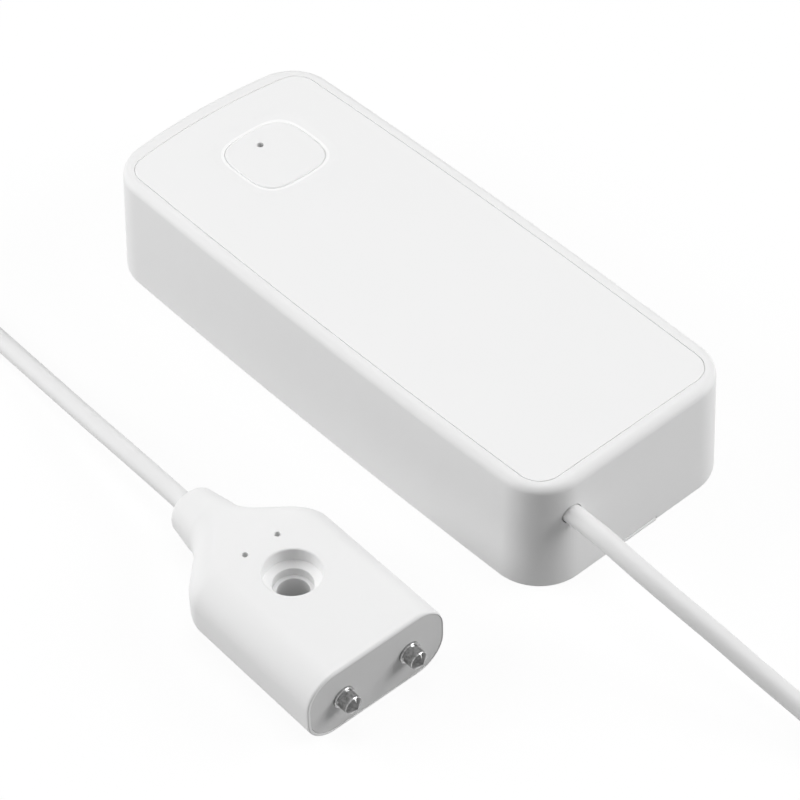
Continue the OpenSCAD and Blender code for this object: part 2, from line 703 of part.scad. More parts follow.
module cable_clamp() {
    color("gainsboro") difference() {
        translate([0, 0, clamp_z - clamp_t]) linear_extrude(clamp_t) intersection() {
            polygon(plan(inside + loose));
            translate([clamp_x, clamp_y0]) square([clamp_l, clamp_w]);
        }
        translate([clamp_x - past, lead_y, lead_z])
            rotate([0, 90, 0]) cylinder(d = cable_d + 2 * snug, h = clamp_l + 2 * past);
        translate([clamp_screw_x, clamp_screw_y, clamp_z - clamp_t - past])
            cylinder(d = mini_shank_d + 2 * loose, h = clamp_t + 2 * past);
    }
}

module clamp_screw() {
    color("silver") translate([clamp_screw_x, clamp_screw_y, clamp_z - clamp_t])
        screw(mini_head_d, mini_head_h, mini_shank_d, mini_shank_l - snug);
}

module lead_entry() {
    color("gainsboro") translate([lead_entry_x, lead_y, lead_z])
        rotate([0, 90, 0]) cylinder(d = cable_d, h = lead_exit_x - lead_entry_x);
}

module battery_cover() {
    cover_inset = inside + cover_gap;
    lip_w = notch_w - 2 * cover_gap;
    lip_out = 0.15;
    color("white") union() {
        translate([0, 0, cover_recess]) linear_extrude(cover_t) polygon(plan(cover_inset));
        translate([body_l / 2 - cover_inset - past, -lip_w / 2, cover_recess])
            cube([cover_inset + past + lip_out, lip_w, notch_h - cover_gap - cover_recess]);
        for (x = tongue_x, s = [-1, 1]) {
            tongue_y = side_y(x, inside) - tongue_in - tongue_t / 2;
            tongue_h = tongue_top - cover_recess;
            translate([x, s * tongue_y, cover_recess + tongue_h / 2])
                cube([tongue_l, tongue_t, tongue_h], center = true);
        }
    }
}

module cable_run_out() {
    color("gainsboro") tube(run_out_route, cable_d, run_sides);
}

module cable_coil() {
    color("gainsboro") tube(coil_path, cable_d, coil_sides);
}

// Band tie around the coil's turns
module cable_tie() {
    tie_w = 3;
    tie_angle = 135;
    around = cable_d / 2 + tie_gap;
    r0 = coil_r(coil_half) - around;
    r1 = coil_r(360 - tie_angle) + around;
    band_h = coil_upper_z + around + tie_t;
    color("dimgray") translate([coil_middle.x, coil_middle.y, 0]) rotate([90, 0, tie_angle])
        translate([0, 0, -tie_w / 2]) linear_extrude(tie_w) difference() {
            translate([r0 - tie_t, 0]) square([r1 - r0 + 2 * tie_t, band_h]);
            translate([r0, tie_t]) square([r1 - r0, band_h - 2 * tie_t]);
        }
}

module cable_run_in() {
    color("gainsboro") tube(run_in_route, cable_d, run_sides);
}

module lead_tail() {
    color("gainsboro") at_probe() translate([-probe_l, 0, probe_mid])
        rotate([0, 90, 0]) cylinder(d = cable_d, h = tail_l);
}

// Cross-section of the probe at x, a rounded rectangle about its long axis
section_steps = 7;
function section(x, w, h, r) = [for (q = [0:3], i = [0:section_steps]) let (a = 90 * (q + i / section_steps),
    sy = (q == 0 || q == 3) ? 1 : -1, sz = q < 2 ? 1 : -1)
    [x, sy * (w / 2 - r) + r * cos(a), probe_mid + sz * (h / 2 - r) + r * sin(a)]];
function mixed(a, b, t) = a + (b - a) * t;
round_share = 0.96;
// Section at x that goes from the round neck, at t = 0, to the slab, at t = 1
function neck_section(x, t, d) = section(x, mixed(d, probe_w, t), mixed(d, probe_h, t),
    mixed(round_share * d / 2, probe_r, t));
module probe_outside() {
    shoulder_steps = 10;
    rim = [for (a = [0:30:90]) neck_section(neck_round * (1 - cos(a)) - probe_l, 0,
        neck_rim_d - 2 * neck_round * (1 - sin(a)))];
    shoulders = [for (i = [0:shoulder_steps]) let (t = i / shoulder_steps)
        neck_section(neck_l + shoulder_l * t - probe_l, (1 - cos(180 * t)) / 2, neck_d)];
    face = [for (a = [0:45:90]) let (in = 2 * face_round * (1 - cos(a)))
        section(face_round * (sin(a) - 1), probe_w - in, probe_h - in, probe_r - in / 2)];
    loft(concat(rim, shoulders, face));
}

module probe_shell() {
    column_d = head_recess_d + 2 * column_wall;
    tail_in_room = 1;
    room_x0 = tail_l - probe_l - tail_in_room;
    room_wall = 3.1;
    room_y = probe_w / 2 - room_wall;
    room_wide_x = neck_l + shoulder_l - probe_l;
    in = 2 * shell_rim;
    color("white") at_probe() difference() {
        probe_outside();
        loft([for (x = [-cap_t, past]) section(x, probe_w - in, probe_h - in, probe_r - shell_rim)]);
        translate([0, 0, probe_mid - wire_room_h / 2]) linear_extrude(wire_room_h) difference() {
            polygon([[room_x0, -cable_d], [room_wide_x, -room_y], [past - cap_t, -room_y],
                [past - cap_t, room_y], [room_wide_x, room_y], [room_x0, cable_d]]);
            translate([-hole_from_face, 0]) circle(d = column_d);
        }
        translate([-probe_l - past, 0, probe_mid])
            rotate([0, 90, 0]) cylinder(d = cable_d + 2 * snug, h = tail_l + 2 * past);
        translate([-hole_from_face, 0, 0]) {
            translate([0, 0, -past]) cylinder(d = screw_hole_d, h = probe_h + 2 * past);
            translate([0, 0, probe_h - head_recess_depth - step_depth]) cylinder(d = step_d, h = probe_h);
            translate([0, 0, probe_h - head_recess_depth]) cylinder(d = head_recess_d, h = probe_h);
        }
        for (s = [-1, 1]) translate([-hole_from_face - drip_hole_from_hole, s * drip_hole_spacing / 2,
            probe_h - drip_hole_depth]) cylinder(d = drip_hole_d, h = probe_h);
    }
}

module probe_end_cap() {
    in = 2 * (shell_rim + snug);
    color("whitesmoke") at_probe() difference() {
        loft([for (x = [snug - cap_t, -cap_back]) section(x, probe_w - in, probe_h - in, probe_r - in / 2)]);
        for (s = [-1, 1]) translate([-cap_t - past, s * pin_spacing / 2, probe_mid])
            rotate([0, 90, 0]) cylinder(d = pin_d + 2 * snug, h = cap_t + 2 * past);
    }
}

// Contact pin with a head behind the cap, a collar on its face and a conical point
module probe_pins() {
    head_x = -cap_t - pin_head_t;
    profile = [[0, head_x - pin_tail_l], [pin_tail_d / 2, head_x - pin_tail_l], [pin_tail_d / 2, head_x],
        [pin_head_d / 2, head_x], [pin_head_d / 2, -cap_t], [pin_d / 2, -cap_t], [pin_d / 2, -cap_back],
        [collar_d / 2, -cap_back], [collar_d / 2, collar_t - cap_back], [pin_d / 2, collar_t - cap_back],
        [pin_d / 2, pin_out - cone_l], [point_d / 2, pin_out], [0, pin_out]];
    color("lightsteelblue") at_probe() for (s = [-1, 1])
        translate([0, s * pin_spacing / 2, probe_mid]) rotate([0, 90, 0]) rotate_extrude() polygon(profile);
}

// Two wires from the end of the lead, around the screw column, to the tails of the pins
module probe_wires() {
    tail_end = -cap_t - pin_head_t - pin_tail_l;
    start_x = tail_l - probe_l;
    core_y = (wire_d + wire_gap) / 2;
    pin_y = pin_spacing / 2;
    wire_past_column = 1.3;
    round_y = head_recess_d / 2 + column_wall + wire_past_column;
    path = [[start_x + snug, core_y], [start_x + wire_d, core_y],
        [mixed(start_x, -hole_from_face, 0.4), mixed(core_y, round_y, 0.5)],
        [mixed(start_x, -hole_from_face, 0.65), mixed(core_y, round_y, 0.93)],
        [-hole_from_face, round_y], [mixed(tail_end, -hole_from_face, 0.5), mixed(pin_y, round_y, 0.7)],
        [tail_end - wire_d, pin_y], [tail_end - snug, pin_y]];
    for (s = [-1, 1]) color(["red", "black"][(s + 1) / 2]) at_probe()
        tube([for (p = path) [p.x, s * p.y, probe_mid]], wire_d, 6);
}

housing();
top_panel();
button_cap();
tact_switch();
switch_plunger();
circuit_board();
board_screws();
status_led();
board_parts();
radio_module();
radio_shield();
lead_socket();
lead_plug();
lead_wires();
inner_frame();
frame_screws();
battery_cells();
battery_springs();
battery_contacts();
cable_clamp();
clamp_screw();
lead_entry();
battery_cover();
cable_run_out();
cable_coil();
cable_tie();
cable_run_in();
lead_tail();
probe_shell();
probe_end_cap();
probe_pins();
probe_wires();
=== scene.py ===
import json
import math

import bmesh
import bpy
from mathutils import Matrix, Vector

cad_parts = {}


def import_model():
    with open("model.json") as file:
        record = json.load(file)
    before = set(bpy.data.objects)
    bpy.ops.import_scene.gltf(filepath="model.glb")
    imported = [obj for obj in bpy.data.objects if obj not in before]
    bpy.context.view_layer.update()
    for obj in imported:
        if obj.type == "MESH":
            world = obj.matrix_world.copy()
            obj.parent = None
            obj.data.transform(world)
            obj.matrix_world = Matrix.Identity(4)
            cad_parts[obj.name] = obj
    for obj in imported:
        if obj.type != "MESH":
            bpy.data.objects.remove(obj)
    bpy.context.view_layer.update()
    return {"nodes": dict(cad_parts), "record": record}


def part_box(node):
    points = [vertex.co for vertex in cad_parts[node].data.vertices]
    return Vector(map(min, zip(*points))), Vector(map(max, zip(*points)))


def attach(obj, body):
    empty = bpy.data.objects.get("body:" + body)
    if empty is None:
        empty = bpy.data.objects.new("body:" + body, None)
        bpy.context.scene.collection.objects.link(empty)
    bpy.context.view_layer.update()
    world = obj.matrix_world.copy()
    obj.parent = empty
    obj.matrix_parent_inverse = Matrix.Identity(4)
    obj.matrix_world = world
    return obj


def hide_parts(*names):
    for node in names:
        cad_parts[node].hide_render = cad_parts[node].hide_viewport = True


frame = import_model()

# Lengths are in millimetres, as in the part's source. Meshes are made in metres.
MM = 0.001
# Room left between faces that fit together, so that they don't coincide
SNUG = 0.02
# How far a cutter reaches past a face that it cuts
CUT_PAST = 1


def extent(node):
    """Lowest and highest corner of a CAD node, in millimetres."""
    low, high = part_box(node)
    return low / MM, high / MM


# Camera
LENS = 131.715
CAMERA_AZIMUTH = 48.7651
CAMERA_ELEVATION = 45.4052
CAMERA_ROLL = -1.0533
CAMERA_DISTANCE = 402.55
CAMERA_SHIFT = (-1.286, -6.0874)


def camera_axes():
    """Directions to the right, up and back of the camera."""
    azimuth, elevation, roll = map(math.radians, (CAMERA_AZIMUTH, CAMERA_ELEVATION, CAMERA_ROLL))
    level = math.cos(elevation)
    back = Vector((math.sin(azimuth) * level, -math.cos(azimuth) * level, math.sin(elevation)))
    right = Vector((math.cos(azimuth), math.sin(azimuth), 0))
    up = back.cross(right)
    turned_right = math.cos(roll) * right + math.sin(roll) * up
    turned_up = math.cos(roll) * up - math.sin(roll) * right
    return turned_right, turned_up, back


def add_camera():
    right, up, back = camera_axes()
    camera = bpy.data.objects.new("camera", bpy.data.cameras.new("camera"))
    bpy.context.scene.collection.objects.link(camera)
    eye = back * CAMERA_DISTANCE + right * CAMERA_SHIFT[0] + up * CAMERA_SHIFT[1]
    camera.matrix_world = Matrix.Translation(eye * MM) @ Matrix((right, up, back)).transposed().to_4x4()
    camera.data.lens = LENS
    camera.data.clip_start = 0.01
    bpy.context.scene.camera = camera


# Node materials. Octaves of the clouds and of the grain, and where the clouds are darkest and lightest
CLOUD_DETAIL, GRAIN_DETAIL = 5, 3
CLOUD_DARK, CLOUD_LIGHT = 0.3, 0.7
# Width of a ring of the wave texture and height of a row of the brick texture, at a scale of 1
WAVE_W, BRICK_H = 0.314, 0.25
TRACE_T = 0.03
RED, BLACK = (0.45, 0.04, 0.04), (0.025, 0.025, 0.028)
# Half the width of the step between two colours, and where it is in each pair of wires
COLOUR_STEP = 0.02
WIRES_Z, PROBE_WIRES_Y = 11.9, -43.4


def add_node(tree, kind, values):
    """New shader node with the given input values."""
    made = tree.nodes.new(kind)
    for socket, value in values.items():
        made.inputs[socket].default_value = value
    return made


def noise(tree, width, detail):
    """Noise over the object, with patches about width mm wide."""
    place = tree.nodes.new("ShaderNodeTexCoord")
    made = add_node(tree, "ShaderNodeTexNoise", {"Scale": 1 / (width * MM), "Detail": detail})
    tree.links.new(place.outputs["Object"], made.inputs["Vector"])
    return made.outputs["Fac"]


def ramp(tree, factor, stops):
    """Colours by factor, from (position, colour) stops."""
    made = tree.nodes.new("ShaderNodeValToRGB")
    for element, (position, colour) in zip(made.color_ramp.elements, stops):
        element.position = position
        element.color = (*colour, 1)
    tree.links.new(factor, made.inputs["Fac"])
    return made.outputs["Color"]


def surface(name, colour, spread, cloud, grain, bump, rough, metallic=0):
    """Clouds of tone, cloud mm wide, over a bumpy grain, grain mm wide, that the gloss follows."""
    material = bpy.data.materials.new(name)
    material.use_nodes = True
    tree = material.node_tree
    shader = tree.nodes["Principled BSDF"]
    shader.inputs["Metallic"].default_value = metallic
    tones = [(CLOUD_DARK, [c * (1 - spread) for c in colour]),
             (CLOUD_LIGHT, [c * (1 + spread) for c in colour])]
    tree.links.new(ramp(tree, noise(tree, cloud, CLOUD_DETAIL), tones), shader.inputs["Base Color"])
    grains = noise(tree, grain, GRAIN_DETAIL)
    gloss = add_node(tree, "ShaderNodeMapRange", {"To Min": rough[0], "To Max": rough[1]})
    tree.links.new(grains, gloss.inputs["Value"])
    tree.links.new(gloss.outputs["Result"], shader.inputs["Roughness"])
    bumps = add_node(tree, "ShaderNodeBump", {"Strength": bump, "Distance": grain * MM / 4})
    tree.links.new(grains, bumps.inputs["Height"])
    tree.links.new(bumps.outputs["Normal"], shader.inputs["Normal"])
    return material


def white_plastic(name, tone, rough=(0.5, 0.6), bump=0.1):
    """Moulded white plastic with a fine spark-eroded grain."""
    material = surface(name, (tone, tone, tone), spread=0.006, cloud=30, grain=0.15, bump=bump, rough=rough)
    material.node_tree.nodes["Principled BSDF"].inputs["Specular IOR Level"].default_value = 0.25
    return material


def turned_steel(name, tone, stain, rough, pitch=0.07):
    """Stained steel with the fine rings that a lathe leaves across X."""
    material = surface(name, (tone, tone, tone), spread=stain, cloud=0.4, grain=0.06, bump=0.04,
                       rough=rough, metallic=1)
    tree = material.node_tree
    place = tree.nodes.new("ShaderNodeTexCoord")
    rings = add_node(tree, "ShaderNodeTexWave", {"Scale": WAVE_W / (pitch * MM), "Distortion": 0.6})
    tree.links.new(place.outputs["Object"], rings.inputs["Vector"])
    grooves = add_node(tree, "ShaderNodeBump", {"Strength": 0.05, "Distance": pitch * MM / 4})
    tree.links.new(rings.outputs["Fac"], grooves.inputs["Height"])
    shader = tree.nodes["Principled BSDF"]
    tree.links.new(shader.inputs["Normal"].links[0].from_socket, grooves.inputs["Normal"])
    tree.links.new(grooves.outputs["Normal"], shader.inputs["Normal"])
    return material


def laminate(name, mask, trace, pitch):
    """Circuit board: traces and pads, pitch mm apart, that stand up a little under a gloss lacquer."""
    material = surface(name, mask, spread=0.1, cloud=4, grain=0.3, bump=0.05, rough=(0.2, 0.35))
    tree = material.node_tree
    place = tree.nodes.new("ShaderNodeTexCoord")
    traces = add_node(tree, "ShaderNodeTexBrick", {
        "Color1": (*mask, 1), "Color2": (*[c * 0.8 for c in mask], 1), "Mortar": (*trace, 1),
        "Scale": BRICK_H / (pitch * MM), "Mortar Size": 0.03, "Bias": -0.2})
    tree.links.new(place.outputs["Object"], traces.inputs["Vector"])
    shader = tree.nodes["Principled BSDF"]
    tree.links.new(traces.outputs["Color"], shader.inputs["Base Color"])
    copper = add_node(tree, "ShaderNodeBump", {"Strength": 0.3, "Distance": TRACE_T * MM})
    tree.links.new(traces.outputs["Fac"], copper.inputs["Height"])
    tree.links.new(shader.inputs["Normal"].links[0].from_socket, copper.inputs["Normal"])
    tree.links.new(copper.outputs["Normal"], shader.inputs["Normal"])
    return material


def wire_pair(name, axis, middle):
    """Insulation of two wires, red on the low side of the middle along an axis and black on the high side."""
    material = surface(name, RED, spread=0.1, cloud=2, grain=0.1, bump=0.05, rough=(0.3, 0.4))
    tree = material.node_tree
    place = tree.nodes.new("ShaderNodeTexCoord")
    parts = tree.nodes.new("ShaderNodeSeparateXYZ")
    tree.links.new(place.outputs["Object"], parts.inputs["Vector"])
    side = add_node(tree, "ShaderNodeMapRange", {
        "From Min": (middle - COLOUR_STEP) * MM, "From Max": (middle + COLOUR_STEP) * MM})
    tree.links.new(parts.outputs[axis], side.inputs["Value"])
    colours = ramp(tree, side.outputs["Result"], [(0, RED), (1, BLACK)])
    tree.links.new(colours, tree.nodes["Principled BSDF"].inputs["Base Color"])
    return material


# The probe's cap is the shell's plastic set darker, 0.68 against 0.84: painted shade on its face
WHITE_TONES = {
    "housing_plastic": 0.84, "panel_plastic": 0.86, "button_plastic": 0.86, "cover_plastic": 0.84,
    "frame_plastic": 0.72, "probe_plastic": 0.84, "probe_cap_plastic": 0.68, "tie_plastic": 0.75}
# Colour, spread of tone, width of the clouds and of the grain, bump, roughness, metal
OTHER_SURFACES = {
    "black_plastic": ((0.04, 0.04, 0.045), 0.2, 2, 0.1, 0.15, (0.4, 0.6), 0),
    "connector_plastic": ((0.82, 0.79, 0.7), 0.02, 3, 0.1, 0.05, (0.3, 0.4), 0),
    "led_resin": ((0.85, 0.8, 0.6), 0.05, 0.5, 0.1, 0.02, (0.1, 0.2), 0),
    "cell_wrap": ((0.75, 0.3, 0.05), 0.08, 3, 0.2, 0.03, (0.2, 0.3), 0.3),
    "shield_tin": ((0.62, 0.62, 0.6), 0.1, 1, 0.1, 0.1, (0.3, 0.45), 1),
    "spring_steel": ((0.66, 0.65, 0.62), 0.08, 1, 0.1, 0.05, (0.2, 0.35), 1),
    "screw_steel": ((0.55, 0.55, 0.55), 0.1, 1, 0.1, 0.08, (0.25, 0.4), 1)}
MATERIALS = {
    "cable_jacket": white_plastic("cable_jacket", 0.8, bump=0.02),
    "wire_insulation": wire_pair("wire_insulation", "Z", WIRES_Z),
    "board_laminate": laminate("board_laminate", (0.03, 0.2, 0.09), (0.1, 0.32, 0.14), 1.2),
    "radio_laminate": laminate("radio_laminate", (0.03, 0.05, 0.16), (0.1, 0.13, 0.28), 0.9),
    "pin_steel": turned_steel("pin_steel", 0.4, 0.4, (0.1, 0.2))}
for slot_name, tone_now in WHITE_TONES.items():
    MATERIALS[slot_name] = white_plastic(slot_name, tone_now)
for slot_name, look in OTHER_SURFACES.items():
    MATERIALS[slot_name] = surface(slot_name, *look)
# Glossier white for the rim round the button's hole; its lighter tone is a painted highlight
GLOSSY_RIM_PAINTED_HIGHLIGHT = white_plastic("glossy_rim_painted_highlight", 0.93, (0.25, 0.35))
# Darker steel for the pins' conical points: a painted dark reflection
POINT_PAINTED_DARK = turned_steel("point_painted_dark", 0.14, 0.3, (0.05, 0.1))
CELL_BAND = surface("cell_band", (0.03, 0.03, 0.035), 0.1, 3, 0.2, 0.03, (0.2, 0.3))
PROBE_WIRES = wire_pair("probe_wire_insulation", "Y", PROBE_WIRES_Y)


# Mesh tools
def vertex_ring(bm, points):
    return [bm.verts.new(Vector(p) * MM) for p in points]


def level_ring(bm, outline, z):
    return vertex_ring(bm, [(x, y, z) for x, y in outline])


def bridge(bm, rings):
    """Faces between each ring of vertices and the next."""
    for a, b in zip(rings, rings[1:]):
        for i in range(len(a)):
            bm.faces.new((a[i - 1], a[i], b[i], b[i - 1]))


def fill(bm, *loops):
    """Flat face inside the first loop, around the others."""
    edges = []
    for loop in loops:
        for i in range(len(loop)):
            pair = (loop[i - 1], loop[i])
            edges.append(bm.edges.get(pair) or bm.edges.new(pair))
    bmesh.ops.triangle_fill(bm, use_beauty=True, edges=edges)


def circle_at(place, radius, height, steps):
    """Points of a circle about the local Z axis."""
    angles = [2 * math.pi * i / steps for i in range(steps)]
    return [place @ Vector((radius * math.cos(a), radius * math.sin(a), height)) for a in angles]


def turned(bm, profile, place=Matrix(), steps=72):
    """Closed solid turned about the local Z axis from (radius, height) points, both ends on the axis."""
    rings = [vertex_ring(bm, circle_at(place, radius, height, steps)) for radius, height in profile[1:-1]]
    bridge(bm, rings)
    for end, ring in ((profile[0], rings[0]), (profile[-1], rings[-1])):
        tip = bm.verts.new((place @ Vector((0, 0, end[1]))) * MM)
        for i in range(steps):
            bm.faces.new((ring[i - 1], ring[i], tip))


def quarter_turn(steps):
    """Angles from 0 to 90 degrees."""
    return [math.pi / 2 * i / steps for i in range(steps + 1)]


def round_edge(z, inset, size, steps):
    """(z, inset) points of an upper edge that starts upright at the given point and ends level."""
    return [(z + size * math.sin(a), inset + size * (1 - math.cos(a))) for a in quarter_turn(steps)]


def round_foot(z, inset, size, steps):
    """(z, inset) points of a lower edge that starts level at height z and ends upright at inset."""
    return [(z + size * (1 - math.cos(a)), inset + size * (1 - math.sin(a))) for a in quarter_turn(steps)]


def rounded_rectangle(width, height, radius, steps):
    """Points of a rectangle with round corners, about its middle."""
    points = []
    for quarter, (side, top) in enumerate(((1, 1), (-1, 1), (-1, -1), (1, -1))):
        for i in range(steps + 1):
            a = math.pi / 2 * (quarter + i / steps)
            points.append((side * (width / 2 - radius) + radius * math.cos(a),
                           top * (height / 2 - radius) + radius * math.sin(a)))
    return points


def mouth(radius, top, size, steps=6):
    """Profile points of a hole's soft mouth, from its wall out to the face at height top."""
    return [(radius + size * (1 - math.cos(a)), top - size * (1 - math.sin(a))) for a in quarter_turn(steps)]


def to_object(name, bm):
    bmesh.ops.recalc_face_normals(bm, faces=bm.faces)
    mesh = bpy.data.meshes.new(name)
    bm.to_mesh(mesh)
    bm.free()
    made = bpy.data.objects.new(name, mesh)
    bpy.context.scene.collection.objects.link(made)
    return made


def soft_box(name, low, high, radius):
    """Box between two corners, with round edges."""
    bm = bmesh.new()
    low, high = Vector(low) * MM, Vector(high) * MM
    stretch = Matrix.Diagonal((*(high - low), 1))
    bmesh.ops.create_cube(bm, size=1, matrix=Matrix.Translation((low + high) / 2) @ stretch)
    bmesh.ops.bevel(bm, geom=bm.edges, offset=radius * MM, segments=3, profile=0.5, affect="EDGES")
    return to_object(name, bm)


def combine(piece, other, operation):
    """Boolean of two solids. The other one is used up."""
    modifier = piece.modifiers.new("combine", "BOOLEAN")
    modifier.object = other
    modifier.operation = operation
    modifier.solver = "EXACT"
    scene_now = bpy.context.evaluated_depsgraph_get()
    mesh = bpy.data.meshes.new_from_object(piece.evaluated_get(scene_now))
    piece.modifiers.clear()
    piece.data = mesh
    bpy.data.objects.remove(other)


def cut(piece, cutter):
    """Takes the cutter's solid away from the piece."""
    combine(piece, cutter, "DIFFERENCE")


def join(piece, other):
    """Makes one solid of the piece and the other."""
    combine(piece, other, "UNION")


def smooth(mesh, degrees=32):
    mesh.shade_smooth()
    mesh.set_sharp_from_angle(angle=math.radians(degrees))


def place_piece(piece, body, slot, *nodes):
    """Finishes a piece that stands for CAD nodes: shading, material, body and slot."""
    if piece.type == "MESH":
        smooth(piece.data)
        piece.modifiers.new("flat_faces", "WEIGHTED_NORMAL").keep_sharp = True
    piece.data.materials.clear()
    piece.data.materials.append(MATERIALS[slot])
    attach(piece, body)
    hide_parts(*nodes)


# Housing's plan: a flat near end, a crowned far end and crowned sides that meet in round corners
BODY_LOW, BODY_HIGH = extent("housing")
BODY_L, BODY_W, BODY_H = BODY_HIGH - BODY_LOW
END_CROWN, SIDE_CROWN = 2, 0.7
NEAR_END = 44.32
CORNER_R, NEAR_CORNER_R = 7.6, 7.2
EDGE_ROUND = 1.25
DRAFT = 0.7
FOOT_ROUND = 0.3
INSIDE, NEAR_INSIDE = 2.2, 1.5
ROOF_Z = 15
PANEL_Z = extent("top_panel")[0].z
PANEL_END_INSET, PANEL_NEAR_INSET, PANEL_SIDE_INSET = 3.2, 2.7, 2.55
PANEL_CORNER_R = 3.4
PANEL_Y = -0.12
END_STEPS, CORNER_STEPS, SIDE_STEPS = 12, 20, 16
FOOT_STEPS, EDGE_STEPS, SEAM_STEPS = 4, 14, 4
SEAM_GAP = 0.09
SEAM_DEPTH = 0.16
SEAM_ROUND = 0.06


def arc_radius(half, rise):
    return (half * half + rise * rise) / (2 * rise)


END_R = arc_radius(BODY_W / 2, END_CROWN)
SIDE_R = arc_radius(BODY_L / 2, SIDE_CROWN)
END_C = Vector((BODY_L / 2 - END_R, 0))
SIDE_C = Vector((0, BODY_W / 2 - SIDE_R))


def circles_meet(p, p_radius, q, q_radius):
    """Upper point where two circles cross."""
    gap = (q - p).length
    u = (q - p) / gap
    a = (gap * gap + p_radius * p_radius - q_radius * q_radius) / (2 * gap)
    return p + a * u + math.sqrt(p_radius * p_radius - a * a) * Vector((-u.y, u.x))


def arc(centre, radius, start, end, steps):
    """Points on an arc from start up to, but not including, end."""
    angles = [start + (end - start) * i / steps for i in range(steps)]
    return [(centre.x + radius * math.cos(a), centre.y + radius * math.sin(a)) for a in angles]


def side_arc(corner, side_in):
    """Points from a corner along a long side to its middle, and the angle at which they start."""
    start = math.atan2(corner.y - SIDE_C.y, corner.x - SIDE_C.x)
    points = arc(SIDE_C, SIDE_R - side_in, start, math.pi / 2, SIDE_STEPS)
    return start, points + [(0, BODY_W / 2 - side_in)]


def far_quarter(end_in, side_in, radius):
    """Quarter outline from the middle of a crowned end to the middle of a side."""
    corner = circles_meet(END_C, END_R - end_in - radius, SIDE_C, SIDE_R - side_in - radius)
    end_angle = math.atan2(corner.y - END_C.y, corner.x - END_C.x)
    side_angle, side = side_arc(corner, side_in)
    end = arc(END_C, END_R - end_in, 0, end_angle, END_STEPS)
    return end + arc(corner, radius, end_angle, side_angle, CORNER_STEPS) + side


def near_quarter(end_in, side_in, radius):
    """Quarter outline from the middle of the flat end to the middle of a side."""
    x = NEAR_END - end_in
    reach = SIDE_R - side_in - radius
    corner = Vector((x - radius, SIDE_C.y + math.sqrt(reach * reach - (x - radius) ** 2)))
    side_angle, side = side_arc(corner, side_in)
    flat = [(x, corner.y * i / END_STEPS) for i in range(END_STEPS)]
    return flat + arc(corner, radius, 0, side_angle, CORNER_STEPS) + side


def outline(far, near):
    """Whole outline from a far quarter, which is mirrored, and a near quarter."""
    half = near + [(-x, y) for x, y in far[-2::-1]]
    return half + [(x, -y) for x, y in half[-2:0:-1]]


def plan(inset):
    """Outline of the housing, drawn in by inset."""
    return outline(far_quarter(inset, inset, CORNER_R - inset),
                   near_quarter(inset, inset, NEAR_CORNER_R - inset))


def inner_plan(gap):
    """Outline of the opening for the battery cover, drawn in by gap."""
    inset = INSIDE + gap
    return outline(far_quarter(inset, inset, CORNER_R - inset),
                   near_quarter(NEAR_INSIDE + gap, inset, NEAR_CORNER_R - inset))


def panel_plan(gap):
    """Outline of the panel's recess, drawn in by gap."""
    side_in, radius = PANEL_SIDE_INSET + gap, PANEL_CORNER_R - gap
    points = outline(far_quarter(PANEL_END_INSET + gap, side_in, radius),
                     near_quarter(PANEL_NEAR_INSET + gap, side_in, radius))
    return [(x, y + PANEL_Y) for x, y in points]


def side_y(x, inset):
    """Half width of the housing's outline at a distance from its middle."""
    return SIDE_C.y + math.sqrt((SIDE_R - inset) ** 2 - x * x)


# Button in its dished hollow
BUTTON_LOW, BUTTON_HIGH = extent("button_cap")
BUTTON_X = (BUTTON_LOW.x + BUTTON_HIGH.x) / 2
BUTTON_Y = (BUTTON_LOW.y + BUTTON_HIGH.y) / 2
FLANGE_W = BUTTON_HIGH.x - BUTTON_LOW.x
FLANGE_CLEAR = 0.3
FLANGE_Z, FLANGE_T = 15.35, 0.8
STEM_D = 3
BUTTON_W = 12.1
BUTTON_GAP = 0.05
BUTTON_EDGE, BUTTON_EDGE_STEPS = 0.25, 8
BUTTON_SQUARENESS = 3.4
HOLE_W = BUTTON_W + 2 * BUTTON_GAP
HOLE_EDGE = 0.12
HOLE_LEDGE = 0.1
HOLE_EDGE_STEPS = 5
DISH_W, DISH_DEPTH = 15.6, 0.14
DISH_STEPS = 18
# Width of the ring round the button's hole that carries the painted highlight
PAINTED_HIGHLIGHT_W = 0.5
LIGHT_HOLE_D = 1
LIGHT_HOLE_X, LIGHT_HOLE_Y = BUTTON_X - 2.9, BUTTON_Y - 0.28


def squircle_half(x, y):
    """Half width of the rounded square with bulging sides that goes through a point, about its middle."""
    return (abs(x) ** BUTTON_SQUARENESS + abs(y) ** BUTTON_SQUARENESS) ** (1 / BUTTON_SQUARENESS)


def squircle(width, steps=120):
    """Rounded square with bulging sides, about the button's middle."""
    points = []
    for i in range(steps):
        a = 2 * math.pi * i / steps
        c, s = math.cos(a), math.sin(a)
        size = width / 2 / squircle_half(c, s)
        points.append((BUTTON_X + size * c, BUTTON_Y + size * s))
    return points


def circle(x, y, diameter, steps=32):
    return arc(Vector((x, y)), diameter / 2, 0, 2 * math.pi, steps)


# Lead's way out, the pry notch, and the bosses and rib under the roof
EXIT = Vector((extent("cable_run_out")[0].x, -11.9, 11.9))
CABLE_D = 2.7
EXIT_HOLE_D = 2.95
EXIT_ROUND = 0.05
NOTCH_W, NOTCH_H = 6.6, 0.65
NOTCH_ROUND = 0.1
BOSS_D, BOSS_Z = 4.4, 5
SCREW_BORE_D, SCREW_BORE_L = 1.9, 7
FRAME_SCREWS = [(38.4, 9), (38.4, -1.2), (-39, 10.5), (-39, -10.5)]
CLAMP_LOW, CLAMP_HIGH = extent("cable_clamp")
CLAMP_BORE_D, CLAMP_BORE_L = 1.6, 2.8
CLAMP_SCREW = (38.2, -7.9)
RIB_W, RIB_Z = 3.2, 12.3
IN_ROOF = (ROOF_Z + PANEL_Z) / 2


